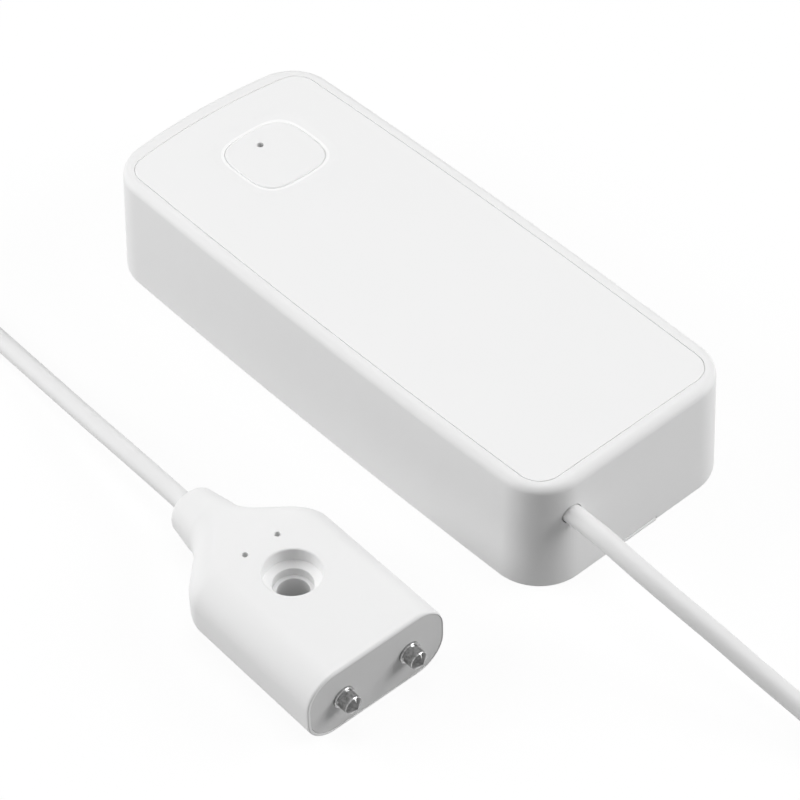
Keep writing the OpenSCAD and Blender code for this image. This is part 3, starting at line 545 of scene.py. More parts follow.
def housing():
    bm = bmesh.new()
    side = round_foot(0, 0, FOOT_ROUND, FOOT_STEPS)
    side += round_edge(BODY_H - EDGE_ROUND, DRAFT, EDGE_ROUND, EDGE_STEPS)
    seam = [(BODY_H - SEAM_ROUND * (1 - math.cos(a)), SEAM_ROUND * (math.sin(a) - 1))
            for a in quarter_turn(SEAM_STEPS)]
    rings = [level_ring(bm, inner_plan(0), ROOF_Z), level_ring(bm, inner_plan(0), 0)]
    rings += [level_ring(bm, plan(inset), z) for z, inset in side]
    rings += [level_ring(bm, panel_plan(gap), z) for z, gap in seam + [(PANEL_Z, 0)]]
    bridge(bm, rings)
    hole = [level_ring(bm, squircle(FLANGE_W + 2 * FLANGE_CLEAR), z) for z in (ROOF_Z, PANEL_Z)]
    bridge(bm, hole)
    fill(bm, rings[0], hole[0])
    fill(bm, rings[-1], hole[1])
    piece = to_object("housing_shell", bm)
    for spot in FRAME_SCREWS:
        join(piece, boss(spot, BOSS_Z, SCREW_BORE_D, SCREW_BORE_L))
    join(piece, boss(CLAMP_SCREW, CLAMP_HIGH.z + SNUG, CLAMP_BORE_D, CLAMP_BORE_L))
    join(piece, soft_box("rib", (CLAMP_LOW.x, EXIT.y - RIB_W / 2, RIB_Z),
                         (CLAMP_HIGH.x, EXIT.y + RIB_W / 2, IN_ROOF), FOOT_ROUND))
    cut(piece, exit_cutter())
    cut(piece, exit_mouth_cutter())
    cut(piece, notch_cutter())
    place_piece(piece, "sensor", "housing_plastic", "housing")


def boss(spot, z, bore_d, bore_l):
    """Screw boss that hangs from the roof."""
    bm = bmesh.new()
    turned(bm, [(0, z + bore_l), (bore_d / 2, z + bore_l), (bore_d / 2, z), (BOSS_D / 2, z),
                (BOSS_D / 2, IN_ROOF), (0, IN_ROOF)], Matrix.Translation((*spot, 0)), 48)
    return to_object("boss", bm)


def exit_cutter():
    """Lead's way through the rib and the wall, along X."""
    bm = bmesh.new()
    along_x = Matrix.Translation((0, EXIT.y, EXIT.z)) @ Matrix.Rotation(math.pi / 2, 4, "Y")
    radius, hole_radius = CABLE_D / 2 + SNUG, EXIT_HOLE_D / 2
    start, wall, end = CLAMP_LOW.x - INSIDE, EXIT.x - 2 * INSIDE, BODY_L / 2 + INSIDE
    turned(bm, [(0, start), (radius, start), (radius, wall),
                (hole_radius, wall), (hole_radius, end), (0, end)], along_x)
    return to_object("exit_cutter", bm)


def exit_mouth_cutter():
    """Soft mouth of the lead's hole, square to the leaning end."""
    bm = bmesh.new()
    slope = DRAFT / (BODY_H - EDGE_ROUND - FOOT_ROUND)
    spot = Vector((NEAR_END - slope * (EXIT.z - FOOT_ROUND), EXIT.y, EXIT.z))
    facing = Matrix.Translation(spot) @ Vector((1, 0, slope)).to_track_quat("Z", "Y").to_matrix().to_4x4()
    radius = EXIT_HOLE_D / 2
    turned(bm, [(0, -INSIDE), (radius - SNUG, -INSIDE), *mouth(radius, 0, EXIT_ROUND),
                (radius + EXIT_ROUND, INSIDE), (0, INSIDE)], facing)
    return to_object("exit_mouth_cutter", bm)


def notch_cutter():
    bm = bmesh.new()
    half = NOTCH_W / 2
    corners = arc(Vector((half - NOTCH_ROUND, NOTCH_H - NOTCH_ROUND)), NOTCH_ROUND, 0, math.pi / 2, 6)
    corners.append((half - NOTCH_ROUND, NOTCH_H))
    edge = [(half, -CUT_PAST)] + corners + [(-y, z) for y, z in reversed(corners)] + [(-half, -CUT_PAST)]
    x0 = BODY_L / 2 - 2 * INSIDE
    rings = [vertex_ring(bm, [(x, y, z) for y, z in edge]) for x in (x0, x0 + 3 * INSIDE)]
    bridge(bm, rings)
    for ring in rings:
        fill(bm, ring)
    return to_object("notch_cutter", bm)


def top_panel():
    """Panel with a shallow seam around it and a dished hollow around the button, whose rim is glossier and
    lighter in tone, a painted highlight.
    """
    bm = bmesh.new()
    seam_z = BODY_H - SEAM_DEPTH
    outer = ([(PANEL_Z, SNUG), (seam_z, SNUG), (seam_z, SEAM_GAP)]
             + round_edge(BODY_H - SEAM_ROUND, SEAM_GAP, SEAM_ROUND, SEAM_STEPS))
    rings = [level_ring(bm, panel_plan(gap), z) for z, gap in outer]
    bridge(bm, rings)
    dish_z = BODY_H - DISH_DEPTH
    ledge_z = dish_z - HOLE_LEDGE
    ledge_w = BUTTON_W + 2 * SNUG
    profile = [(PANEL_Z, ledge_w), (ledge_z, ledge_w), (ledge_z, HOLE_W)]
    profile += [(z, HOLE_W + 2 * inset)
                for z, inset in round_edge(dish_z - HOLE_EDGE, 0, HOLE_EDGE, HOLE_EDGE_STEPS)]
    dish_start = HOLE_W + 2 * HOLE_EDGE
    for i in range(1, DISH_STEPS + 1):
        t = i / DISH_STEPS
        profile.append((BODY_H - DISH_DEPTH * (1 + math.cos(math.pi * t)) / 2, mixed(dish_start, DISH_W, t)))
    hollow = [level_ring(bm, squircle(width), z) for z, width in profile]
    bridge(bm, hollow)
    fill(bm, rings[-1], hollow[-1])
    fill(bm, rings[0], hollow[0])
    piece = to_object("top_plate", bm)
    place_piece(piece, "sensor", "panel_plastic", "top_panel")
    # The ring round the button's hole gets the glossier, lighter material: a painted highlight
    piece.data.materials.append(GLOSSY_RIM_PAINTED_HIGHLIGHT)
    for face in piece.data.polygons:
        x, y, z = face.center / MM
        in_painted_highlight = squircle_half(x - BUTTON_X, y - BUTTON_Y) < HOLE_W / 2 + PAINTED_HIGHLIGHT_W
        face.material_index = 1 if in_painted_highlight and z > ledge_z else 0


def button_cap():
    bm = bmesh.new()
    flange_top = FLANGE_Z + FLANGE_T
    profile = [(FLANGE_Z, FLANGE_W), (flange_top, FLANGE_W), (flange_top, BUTTON_W)]
    profile += [(z, BUTTON_W - 2 * inset)
                for z, inset in round_edge(BODY_H - BUTTON_EDGE, 0, BUTTON_EDGE, BUTTON_EDGE_STEPS)]
    rings = [level_ring(bm, squircle(width), z) for z, width in profile]
    bridge(bm, rings)
    light_hole = [level_ring(bm, circle(LIGHT_HOLE_X, LIGHT_HOLE_Y, LIGHT_HOLE_D), z)
                  for z in (FLANGE_Z, BODY_H)]
    bridge(bm, light_hole)
    stem = [level_ring(bm, circle(BUTTON_X, BUTTON_Y, STEM_D), z) for z in (FLANGE_Z, BUTTON_LOW.z)]
    bridge(bm, stem)
    fill(bm, stem[1])
    fill(bm, rings[0], light_hole[0], stem[0])
    fill(bm, rings[-1], light_hole[1])
    place_piece(to_object("push_button", bm), "button", "button_plastic", "button_cap")


# Battery cover with the lip in the notch and its guide tongues
COVER_GAP = 0.25
COVER_T = 1.6
COVER_ROUND, COVER_EDGE_STEPS = 0.3, 5
LIP_ROUND = 0.2
LIP_GAP, LIP_OUT = 0.12, 0.12
TONGUE_X = (-12, 22)
TONGUE_L, TONGUE_T, TONGUE_IN = 6, 1, 0.45


def battery_cover():
    low, high = extent("battery_cover")
    bm = bmesh.new()
    edge = round_foot(low.z, COVER_GAP, COVER_ROUND, COVER_EDGE_STEPS)
    rings = [level_ring(bm, inner_plan(gap), z) for z, gap in edge + [(low.z + COVER_T, COVER_GAP)]]
    bridge(bm, rings)
    fill(bm, rings[0])
    fill(bm, rings[-1])
    piece = to_object("cover_plate", bm)
    lip = NOTCH_W / 2 - LIP_GAP
    join(piece, soft_box("lip", (NEAR_END - 2 * INSIDE, -lip, SNUG),
                         (NEAR_END + LIP_OUT, lip, NOTCH_H - LIP_GAP), LIP_ROUND))
    for x in TONGUE_X:
        y = side_y(x, INSIDE) - TONGUE_IN
        for y0, y1 in ((y - TONGUE_T, y), (-y, TONGUE_T - y)):
            join(piece, soft_box("tongue", (x - TONGUE_L / 2, y0, low.z + COVER_T / 2),
                                 (x + TONGUE_L / 2, y1, high.z), COVER_ROUND))
    place_piece(piece, "cover", "cover_plastic", "battery_cover")


# Cells, springs and screws in the housing
CELL_D, CELL_L = 10.5, 44.5
CELL_LOW, CELL_HIGH = extent("battery_cells")
CELL_Y = CELL_HIGH.y - CELL_D / 2
CELL_Z = CELL_HIGH.z - CELL_D / 2
CELL_BASE_DEPTH, CELL_BASE_IN, CELL_RIM_IN = 0.15, 1.5, 1.3
NUB_D, NUB_L, NUB_EDGE = 3.8, 0.8, 0.15
NUB_FOOT, NUB_FOOT_H = 0.3, 0.1
CRIMP, CRIMP_STEPS = 0.5, 5
FILM_T, FILM_EDGE = 0.06, 0.7
BAND_START = 31
SPRING_R, SPRING_WIRE_D, SPRING_TURNS = 2.6, 0.6, 3
# Points in each turn of a spring, and how much flatter its ends are wound
SPRING_STEPS, SPRING_EASE = 40, 0.6


def battery_cells():
    """Two cells, head to tail, with a film around the can that leaves the crimped ends bare."""
    radius, can_l = CELL_D / 2, CELL_L - NUB_L
    can = radius - FILM_T
    profile = [(0, CELL_BASE_DEPTH), (radius - CELL_BASE_IN, CELL_BASE_DEPTH), (radius - CELL_RIM_IN, 0)]
    profile += [(can - inset, z) for z, inset in round_foot(0, 0, CRIMP, CRIMP_STEPS)]
    profile += [(can, FILM_EDGE), (radius, FILM_EDGE + FILM_T), (radius, BAND_START),
                (radius, can_l - FILM_EDGE - FILM_T), (can, can_l - FILM_EDGE)]
    profile += [(can - inset, z) for z, inset in round_edge(can_l - CRIMP, 0, CRIMP, CRIMP_STEPS)]
    nub = NUB_D / 2
    profile += [(nub + NUB_FOOT, can_l), (nub, can_l + NUB_FOOT_H), (nub, CELL_L - NUB_EDGE),
                (nub - NUB_EDGE, CELL_L), (0, CELL_L)]
    bm = bmesh.new()
    for x, side, turn in ((CELL_HIGH.x - CELL_L, 1, math.pi / 2), (CELL_LOW.x + CELL_L, -1, -math.pi / 2)):
        place = Matrix.Translation((x, side * CELL_Y, CELL_Z)) @ Matrix.Rotation(turn, 4, "Y")
        turned(bm, profile, place, 96)
    piece = to_object("cells", bm)
    place_piece(piece, "sensor", "cell_wrap", "battery_cells")
    piece.data.materials.append(CELL_BAND)
    piece.data.materials.append(MATERIALS["spring_steel"])
    for face in piece.data.polygons:
        x, y = (face.center / MM).xy
        along = x - CELL_HIGH.x + CELL_L if y > 0 else CELL_LOW.x + CELL_L - x
        bare = along < FILM_EDGE or along > can_l - FILM_EDGE
        face.material_index = 2 if bare else 1 if along < BAND_START else 0


def wire_curve(name, lines, diameter, sides=8):
    """Round wire along lines of points."""
    curve = bpy.data.curves.new(name, "CURVE")
    curve.dimensions = "3D"
    curve.bevel_depth = diameter / 2 * MM
    curve.bevel_resolution = sides
    curve.use_fill_caps = True
    for line in lines:
        spline = curve.splines.new("POLY")
        spline.points.add(len(line) - 1)
        for point, p in zip(spline.points, line):
            point.co = (*(p * MM), 1)
        spline.use_smooth = True
    piece = bpy.data.objects.new(name, curve)
    bpy.context.scene.collection.objects.link(piece)
    return piece


def battery_springs():
    """Wound springs whose end turns lie flatter, against the contact and the cell."""
    lines = []
    for side, start, end in ((1, CELL_LOW.x, CELL_HIGH.x - CELL_L), (-1, CELL_HIGH.x, CELL_LOW.x + CELL_L)):
        room = SPRING_WIRE_D / 2 + SNUG
        first = start + math.copysign(room, end - start)
        travel = end - start - math.copysign(2 * room, end - start)
        steps = SPRING_STEPS * SPRING_TURNS
        line = []
        for i in range(steps + 1):
            t = i / steps
            a = 2 * math.pi * SPRING_TURNS * t
            eased = t - SPRING_EASE * math.sin(2 * math.pi * t) / (2 * math.pi)
            line.append(Vector((first + travel * eased, side * CELL_Y + SPRING_R * math.cos(a),
                                CELL_Z + SPRING_R * math.sin(a))))
        lines.append(line)
    place_piece(wire_curve("springs", lines, SPRING_WIRE_D, 5), "sensor", "spring_steel", "battery_springs")


THREAD_PITCH, THREAD_DEPTH = 0.6, 0.16
# Places of a thread's crest and root, in pitches
CREST_AT, ROOT_AT = -0.15, 0.35
# Width and height of the round on a screw's head, in heights of the head
HEAD_ROUND_W, HEAD_ROUND_H = 0.5, 0.6
# Half width and reach of the arms of the cross, in diameters of the head, its depth in heights, its taper
CROSS_ARM, CROSS_REACH, CROSS_DEPTH, CROSS_TAPER = 0.08, 0.3, 0.6, 0.6
# Diameter and height of the head, then diameter and length of the shank
BIG_SCREW = ((3.6, 1.3), (1.8, 7))
SMALL_SCREW = ((3, 1), (1.5, 5))
FRAME_SEAT_Z = 3.45


def screws(name, node, spots, seat_z, head, shank, up=1):
    """Pan-head screws with threads and a cross recess. They point up, or down where up is -1."""
    (head_d, head_h), (shank_d, shank_l) = head, shank
    profile = [(0, -head_h)]
    profile += [(head_d / 2 - head_h * HEAD_ROUND_W * (1 - math.sin(a)),
                 -head_h + head_h * HEAD_ROUND_H * (1 - math.cos(a))) for a in quarter_turn(5)]
    profile += [(head_d / 2, 0), (shank_d / 2, 0)]
    tip = shank_l - shank_d / 2
    for i in range(1, int(tip / THREAD_PITCH)):
        profile += [(shank_d / 2, THREAD_PITCH * (i + CREST_AT)),
                    (shank_d / 2 - THREAD_DEPTH, THREAD_PITCH * (i + ROOT_AT))]
    profile += [(shank_d / 2, tip), (0, shank_l)]
    arm, reach, deep = head_d * CROSS_ARM, head_d * CROSS_REACH, head_h * CROSS_DEPTH
    cross = [(reach, -arm), (reach, arm), (arm, arm), (arm, reach), (-arm, reach), (-arm, arm),
             (-reach, arm), (-reach, -arm), (-arm, -arm), (-arm, -reach), (arm, -reach), (arm, -arm)]
    bm, cutter = bmesh.new(), bmesh.new()
    for spot in spots:
        place = Matrix.Translation((*spot, seat_z)) @ Matrix.Diagonal((1, 1, up, 1))
        turned(bm, profile, place, 40)
        rings = [vertex_ring(cutter, [place @ Vector((x * size, y * size, z)) for x, y in cross])
                 for z, size in ((-head_h - SNUG, 1), (deep - head_h, CROSS_TAPER))]
        bridge(cutter, rings)
        for ring in rings:
            fill(cutter, ring)
    piece = to_object(name, bm)
    cut(piece, to_object("cross", cutter))
    place_piece(piece, "sensor", "screw_steel", node)


def all_screws():
    screws("screws_frame", "frame_screws", FRAME_SCREWS, FRAME_SEAT_Z, *BIG_SCREW)
    screws("screw_clamp", "clamp_screw", [CLAMP_SCREW], CLAMP_LOW.z, *SMALL_SCREW)
    low, high = extent("board_screws")
    head_d, head_h = SMALL_SCREW[0]
    reach = head_d / 2
    spots = [(low.x + reach, low.y + reach), (high.x - reach, high.y - reach)]
    screws("screws_board", "board_screws", spots, high.z - head_h, *SMALL_SCREW, up=-1)


# Probe, in its own frame: its face is at x = 0 and its neck ends at x = -PROBE_L
PROBE_L, PROBE_W, PROBE_H, PROBE_R = 37.1, 21.8, 10.8, 4.3
PROBE_MID = PROBE_H / 2
PROBE_X, PROBE_Y, PROBE_TURN = 42.4, -43.6, -1
AT_PROBE = Matrix.Translation((PROBE_X, PROBE_Y, 0)) @ Matrix.Rotation(math.radians(PROBE_TURN), 4, "Z")
NECK_D, NECK_RIM_D = 8, 6.8
NECK_L, SHOULDER_L = 4.7, 10.8
SHOULDER_STEPS = 28
NECK_ROUND = 1.2
FACE_ROUND, SIDE_ROUND = 0.4, 0.12
ROUND_SHARE = 0.96
CAP_SIDE_IN, CAP_TOP_IN, CAP_Y = 0.32, 0.46, 0.12
RIM_ROUND = 0.04
CAP_T, CAP_BACK = 2.6, 0.05
CAP_GAP = 0.03
CAP_ROUND = 0.06
BORE_CLEAR = 0.1
BORE_L = 11.5
HOLE_FROM_FACE = 15.8
SCREW_HOLE_D = 4.2
STEP_D, STEP_DEPTH = 5.3, 1.3
SEAT_SLOPE = 0.3
HEAD_RECESS_D, HEAD_RECESS_DEPTH = 7.6, 2
MOUTH_ROUND = 0.25
STEP_ROUND = 0.12
DRIP_HOLE_D, DRIP_HOLE_DEPTH = 0.8, 2
DRIP_HOLE_SPACING, DRIP_HOLE_FROM_HOLE = 5.2, 6.1
DRIP_HOLE_ROUND = 0.06
PIN_SPACING, PIN_D, PIN_OUT = 10.5, 2.6, 2.6
PIN_BORE_D = 2.7
COLLAR_D, COLLAR_T = 3.2, 0.35
CONE_L, POINT_D = 0.75, 0.3
PIN_EDGE = 0.08
PIN_HEAD_D, PIN_HEAD_T = 3.6, 0.8
PIN_TAIL_D, PIN_TAIL_L = 1.2, 3.4


def mixed(a, b, t):
    return a + (b - a) * t


def section(x, width, height, radius, middle=0, steps=12):
    """Rounded rectangle square to the probe's long axis."""
    points = rounded_rectangle(width, height, radius, steps)
    return [AT_PROBE @ Vector((x, middle + y, PROBE_MID + z)) for y, z in points]


def neck_section(x, t, diameter):
    """Section that goes from the round neck, at t = 0, to the slab, at t = 1."""
    return section(x, mixed(diameter, PROBE_W, t), mixed(diameter, PROBE_H, t),
                   mixed(ROUND_SHARE * diameter / 2, PROBE_R, t))


def slab_section(x, side_in, top_in, middle=0):
    """Section of the slab, drawn in at its sides and at its top and foot."""
    return section(x, PROBE_W - 2 * side_in, PROBE_H - 2 * top_in, PROBE_R - (side_in + top_in) / 2, middle)


def cap_section(x, inset):
    """Outline of the cap's seat, drawn in by inset. It lies a little to one side of the probe's middle."""
    return slab_section(x, CAP_SIDE_IN + inset, CAP_TOP_IN + inset, CAP_Y)


def probe_shell():
    bm = bmesh.new()
    bore_d = CABLE_D + BORE_CLEAR
    sections = [neck_section(BORE_L - PROBE_L, 0, bore_d), neck_section(BORE_CLEAR - PROBE_L, 0, bore_d),
                neck_section(-PROBE_L, 0, bore_d + 2 * BORE_CLEAR)]
    sections += [neck_section(NECK_ROUND * (1 - math.cos(a)) - PROBE_L, 0,
                              NECK_RIM_D - 2 * NECK_ROUND * (1 - math.sin(a))) for a in quarter_turn(8)]
    for i in range(SHOULDER_STEPS + 1):
        t = i / SHOULDER_STEPS
        eased = (1 - math.cos(math.pi * t)) / 2
        sections.append(neck_section(NECK_L + SHOULDER_L * t - PROBE_L, eased, NECK_D))
    sections += [slab_section(FACE_ROUND * (math.sin(a) - 1), SIDE_ROUND * (1 - math.cos(a)),
                              FACE_ROUND * (1 - math.cos(a))) for a in quarter_turn(8)]
    sections += [cap_section(RIM_ROUND * (math.cos(a) - 1), RIM_ROUND * (math.sin(a) - 1))
                 for a in quarter_turn(3)]
    sections.append(cap_section(-CAP_T, 0))
    rings = [vertex_ring(bm, points) for points in sections]
    bridge(bm, rings)
    fill(bm, rings[0])
    fill(bm, rings[-1])
    piece = to_object("probe_body", bm)
    cut(piece, screw_hole_cutter())
    for side in (-1, 1):
        cut(piece, drip_hole_cutter(side))
    place_piece(piece, "sensor", "probe_plastic", "probe_shell")


def screw_hole_cutter():
    """Stepped hole for a screw and its head."""
    bm = bmesh.new()
    seat_z = PROBE_H - HEAD_RECESS_DEPTH
    step_top = seat_z - SEAT_SLOPE
    step_z = step_top - STEP_DEPTH
    over_z = PROBE_H + CUT_PAST
    profile = [(0, -CUT_PAST), (SCREW_HOLE_D / 2, -CUT_PAST)]
    profile += mouth(SCREW_HOLE_D / 2, step_z, STEP_ROUND)
    profile += [(STEP_D / 2, step_z)]
    profile += mouth(STEP_D / 2, step_top, STEP_ROUND)
    profile += [(HEAD_RECESS_D / 2, seat_z)]
    profile += mouth(HEAD_RECESS_D / 2, PROBE_H, MOUTH_ROUND)
    profile += [(HEAD_RECESS_D / 2 + MOUTH_ROUND, over_z), (0, over_z)]
    turned(bm, profile, AT_PROBE @ Matrix.Translation((-HOLE_FROM_FACE, 0, 0)))
    return to_object("screw_hole_cutter", bm)


def drip_hole_cutter(side):
    bm = bmesh.new()
    radius = DRIP_HOLE_D / 2
    floor_z, over_z = PROBE_H - DRIP_HOLE_DEPTH, PROBE_H + CUT_PAST
    place = Matrix.Translation((-HOLE_FROM_FACE - DRIP_HOLE_FROM_HOLE, side * DRIP_HOLE_SPACING / 2, 0))
    turned(bm, [(0, floor_z), (radius, floor_z), *mouth(radius, PROBE_H, DRIP_HOLE_ROUND, 3),
                (radius + DRIP_HOLE_ROUND, over_z), (0, over_z)], AT_PROBE @ place, 32)
    return to_object("drip_hole_cutter", bm)


def pin_axis(side):
    """Frame of a pin, with its point along Z."""
    return (AT_PROBE @ Matrix.Translation((0, side * PIN_SPACING / 2, PROBE_MID))
            @ Matrix.Rotation(math.pi / 2, 4, "Y"))


def probe_end_cap():
    bm = bmesh.new()
    back = SNUG - CAP_T
    front = [cap_section(-CAP_BACK - CAP_ROUND * (1 - math.sin(a)), CAP_GAP + CAP_ROUND * (1 - math.cos(a)))
             for a in quarter_turn(4)]
    rings = [vertex_ring(bm, points) for points in [cap_section(back, CAP_GAP)] + front]
    bridge(bm, rings)
    holes = []
    for side in (-1, 1):
        hole = [vertex_ring(bm, circle_at(pin_axis(side), PIN_BORE_D / 2, x, 48)) for x in (back, -CAP_BACK)]
        bridge(bm, hole)
        holes.append(hole)
    fill(bm, rings[0], *[hole[0] for hole in holes])
    fill(bm, rings[-1], *[hole[1] for hole in holes])
    # The cap's face takes the darker tone, painted shade
    place_piece(to_object("probe_face", bm), "sensor", "probe_cap_plastic", "probe_end_cap")


def probe_pins():
    """Two turned pins with a head behind the cap, a collar on it, a shaft and a blunt conical point, whose
    darker steel is a painted dark reflection.
    """
    bm = bmesh.new()
    radius, tail = PIN_D / 2, PIN_TAIL_D / 2
    head_x = -CAP_T - PIN_HEAD_T
    collar_x = COLLAR_T - CAP_BACK
    cone_x = PIN_OUT - CONE_L
    tail_x = head_x - PIN_TAIL_L
    profile = [(0, tail_x), (tail, tail_x), (tail, head_x), (PIN_HEAD_D / 2, head_x),
               (PIN_HEAD_D / 2, -CAP_T), (radius, -CAP_T), (radius, -CAP_BACK), (COLLAR_D / 2, -CAP_BACK),
               (COLLAR_D / 2, collar_x - PIN_EDGE), (COLLAR_D / 2 - PIN_EDGE, collar_x), (radius, collar_x),
               (radius, cone_x - PIN_EDGE), (radius - PIN_EDGE, cone_x + PIN_EDGE / 2),
               (POINT_D / 2, PIN_OUT - PIN_EDGE), (POINT_D / 4, PIN_OUT - PIN_EDGE / 4), (0, PIN_OUT)]
    for side in (-1, 1):
        turned(bm, profile, pin_axis(side), 64)
    piece = to_object("contact_pins", bm)
    place_piece(piece, "sensor", "pin_steel", "probe_pins")
    # The points get the darker steel, a painted dark reflection
    piece.data.materials.append(POINT_PAINTED_DARK)
    to_probe = AT_PROBE.inverted()
    for face in piece.data.polygons:
        face.material_index = 1 if (to_probe @ (face.center / MM)).x > cone_x else 0


# Lead: from the housing to the coil, round the coil and on to the probe
REST_Z = 1.4
COIL_MIDDLE = Vector((92, -58, 0))
COIL_R, COIL_PITCH, COIL_TURNS = 20, 3.2, 7.25
COIL_Z = 1.95
COIL_UPPER_Z = COIL_Z + COIL_PITCH
END_STRAIGHT = 2.5
NECK_END = AT_PROBE @ Vector((-PROBE_L, 0, PROBE_MID))
NECK_START = AT_PROBE @ Vector((-PROBE_L - END_STRAIGHT, 0, PROBE_MID))
COIL_IN = (COIL_MIDDLE.x + COIL_R, COIL_MIDDLE.y + CABLE_D, COIL_Z)
COIL_OUT = (COIL_MIDDLE.x - CABLE_D, COIL_MIDDLE.y - COIL_R, COIL_UPPER_Z)
RUN_OUT = [
    EXIT, EXIT + Vector((END_STRAIGHT, 0, 0)),
    (50, -11.9, 11.8), (56, -11.8, 11), (62, -11.2, 9.6), (68, -10.3, 7.8), (74, -9.4, 5.8),
    (80, -8.4, 3.8), (85, -7.8, 2.4), (90, -7.5, 1.6), (96, -7.6, REST_Z), (102, -8.8, REST_Z),
    (107.3, -12.3, REST_Z), (110.8, -17.5, REST_Z), (112, -23.6, REST_Z), (112, -30, REST_Z),
    (112, -37, 1.5), (112, -44, 1.7), (112, -50, COIL_Z), COIL_IN]
RUN_IN = [
    COIL_OUT, (84, -78, COIL_UPPER_Z), (77, -78.5, 4.5), (70, -79.6, 3.3), (63, -81.2, 2.2),
    (56, -83.2, 1.6), (49, -85.4, REST_Z), (42, -87.6, REST_Z), (35, -89.8, REST_Z), (28, -91.6, REST_Z),
    (21, -92.3, REST_Z), (14, -91.4, REST_Z), (7, -88.8, REST_Z), (0, -86, REST_Z),
    (-7, -83.2, REST_Z), (-14, -80.4, REST_Z), (-21, -77.6, REST_Z), (-28, -74.8, REST_Z),
    (-35, -72, REST_Z), (-42, -69.3, REST_Z), (-48.6, -66.7, REST_Z), (-54.7, -64.2, REST_Z),
    (-59.6, -60.6, REST_Z), (-62.3, -54.8, REST_Z), (-61.7, -48.3, REST_Z), (-58, -43, REST_Z),
    (-53.2, -40.5, REST_Z), (-47, -40.1, REST_Z), (-41, -40.3, REST_Z), (-35, -40.5, 1.6),
    (-29, -40.8, 2), (-23, -41.2, 2.6), (-17, -41.7, 3.4), (-11, -42.2, 4.3), (-5, -42.6, 5),
    NECK_START, NECK_END]


def coil_points(steps=36):
    """The coil spirals in on the lower layer, climbs and spirals out on the upper layer."""
    half = math.pi * COIL_TURNS
    points = []
    for i in range(int(steps * COIL_TURNS) + 1):
        s = 2 * math.pi * i / steps
        radius = COIL_R - COIL_PITCH * (half - abs(s - half)) / (2 * math.pi)
        climb = min(1, max(0, (s - half) / math.pi + 0.5))
        lift = COIL_PITCH * climb * climb * (3 - 2 * climb)
        points.append(COIL_MIDDLE + Vector((radius * math.cos(s), -radius * math.sin(s), COIL_Z + lift)))
    return points


def rounded(route, steps=6):
    """Smooth line through the points of a route."""
    route = [Vector(p) for p in route]
    ends = [2 * route[0] - route[1], *route, 2 * route[-1] - route[-2]]
    line = []
    for a, b, c, d in zip(ends, ends[1:], ends[2:], ends[3:]):
        for i in range(steps):
            t = i / steps
            line.append((2 * b + (c - a) * t + (2 * a - 5 * b + 4 * c - d) * t ** 2
                         + (3 * b - a - 3 * c + d) * t ** 3) / 2)
    return line + [route[-1]]


def lead():
    piece = wire_curve("lead", [rounded(RUN_OUT) + coil_points() + rounded(RUN_IN)], CABLE_D)
    place_piece(piece, "sensor", "cable_jacket", "cable_run_out", "cable_coil", "cable_run_in")


# Band tie around the coil
TIE_ANGLE = math.radians(135)
TIE_W, TIE_T = 3, 0.5
TIE_ROUND, TIE_EDGE = 1.2, 0.12


def tie_band():
    """Strap bent to a loop with round corners around the turns of the coil."""
    low, high = extent("cable_tie")
    outward = Vector((math.cos(TIE_ANGLE), math.sin(TIE_ANGLE), 0))
    across = Vector((-outward.y, outward.x, 0))
    middle = Vector(((low.x + high.x) / 2, (low.y + high.y) / 2, 0))
    length = (high.x - low.x - TIE_W * abs(across.x)) / abs(outward.x)
    height = high.z
    bm = bmesh.new()

    def loop(inset, offset):
        points = rounded_rectangle(length - 2 * inset, height - 2 * inset, TIE_ROUND - inset, 8)
        return vertex_ring(bm, [middle + outward * u + across * offset + Vector((0, 0, height / 2 + z))
                                for u, z in points])

    half, edge = TIE_W / 2, TIE_EDGE
    profile = [(edge, half), (0, half - edge), (0, edge - half), (edge, -half),
               (TIE_T - edge, -half), (TIE_T, edge - half), (TIE_T, half - edge), (TIE_T - edge, half)]
    loops = [loop(inset, offset) for inset, offset in profile]
    bridge(bm, loops + [loops[0]])
    piece = to_object("coil_tie", bm)
    place_piece(piece, "sensor", "tie_plastic", "cable_tie")
    return piece


# Width of the soft edges, and the least angle, in degrees, between the faces that they join
CAD_EDGE, CAD_EDGE_ANGLE = 0.08, 50


def dress_cad_nodes():
    """Materials, shading and soft edges on the CAD nodes that stay as they are."""
    slots = {row["node"]: row["material_slot"] for row in frame["record"]["subparts"]}
    for name, node in frame["nodes"].items():
        if node.hide_render:
            continue
        node.data.materials.clear()
        node.data.materials.append(PROBE_WIRES if name == "probe_wires" else MATERIALS[slots[name]])
        smooth(node.data)
        if slots[name] == "cable_jacket":
            continue
        edges = node.modifiers.new("soft_edges", "BEVEL")
        edges.width = CAD_EDGE * MM
        edges.segments = 2
        edges.angle_limit = math.radians(CAD_EDGE_ANGLE)
        edges.harden_normals = True


# Stage
FLOOR_SIZE = 12000
FLOOR_GLOW = 0.92
FLOOR_TONE = 0.5
WORLD_LEVEL = 0.02
LAMP_DISTANCE, LAMP_SIZE = 650, (450, 350)
# Name, azimuth, elevation and power in watts. Azimuth 0 is the camera's side, 90 is at its right.
LAMPS = (("overhead", 0, 90, 1.57), ("left", -90, 30, 3.23), ("right", 90, 30, 3))


def background_rays(tree):
    """1 for the rays that show the background: the camera's, and those off a gloss or through glass."""
    path = tree.nodes.new("ShaderNodeLightPath")
    rays = path.outputs["Is Camera Ray"]
    for kind in ("Is Glossy Ray", "Is Transmission Ray"):
        either = tree.nodes.new("ShaderNodeMath")
        either.operation = "MAXIMUM"
        tree.links.new(rays, either.inputs[0])
        tree.links.new(path.outputs[kind], either.inputs[1])
        rays = either.outputs[0]
    return rays


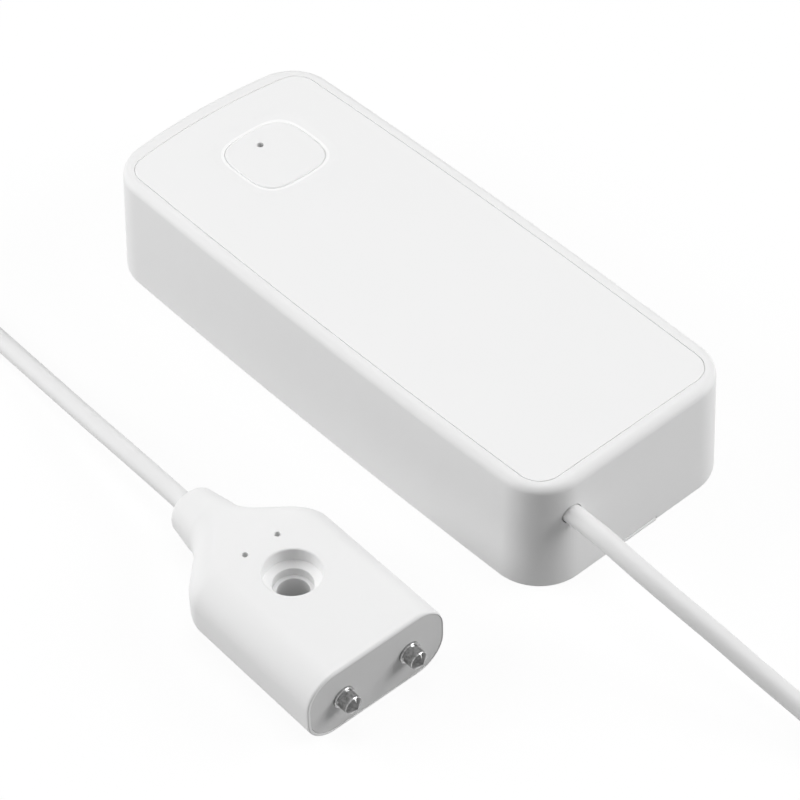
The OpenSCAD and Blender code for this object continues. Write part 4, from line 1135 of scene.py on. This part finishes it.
def floor():
    """Pale ground: white with a faint shadow as a background, grey to the light that it sends back."""
    bm = bmesh.new()
    half = FLOOR_SIZE / 2
    fill(bm, vertex_ring(bm, [(half, half, 0), (-half, half, 0), (-half, -half, 0), (half, -half, 0)]))
    ground = to_object("ground", bm)
    material = bpy.data.materials.new("ground")
    material.use_nodes = True
    tree = material.node_tree
    nodes, links = tree.nodes, tree.links
    nodes.clear()
    diffuse = add_node(tree, "ShaderNodeBsdfDiffuse", {"Color": (FLOOR_TONE, FLOOR_TONE, FLOOR_TONE, 1)})
    shade = 1 - FLOOR_GLOW
    pale = add_node(tree, "ShaderNodeBsdfDiffuse", {"Color": (shade, shade, shade, 1)})
    glow = add_node(tree, "ShaderNodeEmission", {"Strength": FLOOR_GLOW})
    white = nodes.new("ShaderNodeAddShader")
    links.new(pale.outputs[0], white.inputs[0])
    links.new(glow.outputs[0], white.inputs[1])
    seen = nodes.new("ShaderNodeMixShader")
    links.new(background_rays(tree), seen.inputs["Fac"])
    links.new(diffuse.outputs[0], seen.inputs[1])
    links.new(white.outputs[0], seen.inputs[2])
    below = nodes.new("ShaderNodeBsdfTransparent")
    side = nodes.new("ShaderNodeNewGeometry")
    sides = nodes.new("ShaderNodeMixShader")
    links.new(side.outputs["Backfacing"], sides.inputs["Fac"])
    links.new(seen.outputs[0], sides.inputs[1])
    links.new(below.outputs[0], sides.inputs[2])
    output = nodes.new("ShaderNodeOutputMaterial")
    links.new(sides.outputs[0], output.inputs["Surface"])
    ground.data.materials.append(material)


def world():
    """Dim surroundings that are as pale as the ground as a background."""
    sky = bpy.data.worlds.new("studio")
    sky.use_nodes = True
    tree = sky.node_tree
    dim = tree.nodes["Background"]
    dim.inputs["Strength"].default_value = WORLD_LEVEL
    dim.inputs["Color"].default_value = (1, 1, 1, 1)
    white = add_node(tree, "ShaderNodeBackground", {"Color": (1, 1, 1, 1), "Strength": FLOOR_GLOW})
    mix = tree.nodes.new("ShaderNodeMixShader")
    tree.links.new(background_rays(tree), mix.inputs["Fac"])
    tree.links.new(dim.outputs[0], mix.inputs[1])
    tree.links.new(white.outputs[0], mix.inputs[2])
    tree.links.new(mix.outputs[0], tree.nodes["World Output"].inputs["Surface"])
    bpy.context.scene.world = sky


def softbox(name, azimuth, elevation, watts):
    """Rectangular lamp that faces the housing."""
    lamp = bpy.data.lights.new(name, "AREA")
    lamp.shape = "RECTANGLE"
    lamp.size, lamp.size_y = (side * MM for side in LAMP_SIZE)
    lamp.energy = watts
    turn, rise = math.radians(CAMERA_AZIMUTH + azimuth), math.radians(elevation)
    back = Vector((math.sin(turn) * math.cos(rise), -math.cos(turn) * math.cos(rise), math.sin(rise)))
    piece = bpy.data.objects.new(name, lamp)
    piece.visible_camera = False
    piece.location = back * LAMP_DISTANCE * MM
    piece.rotation_mode = "QUATERNION"
    piece.rotation_quaternion = back.to_track_quat("Z", "Y")
    bpy.context.scene.collection.objects.link(piece)


add_camera()
coil_tie = tie_band()
lead()
housing()
top_panel()
button_cap()
battery_cover()
battery_cells()
battery_springs()
all_screws()
probe_shell()
probe_end_cap()
probe_pins()
dress_cad_nodes()
floor()
world()
for lamp_row in LAMPS:
    softbox(*lamp_row)
bpy.context.scene.view_settings.view_transform = "Standard"
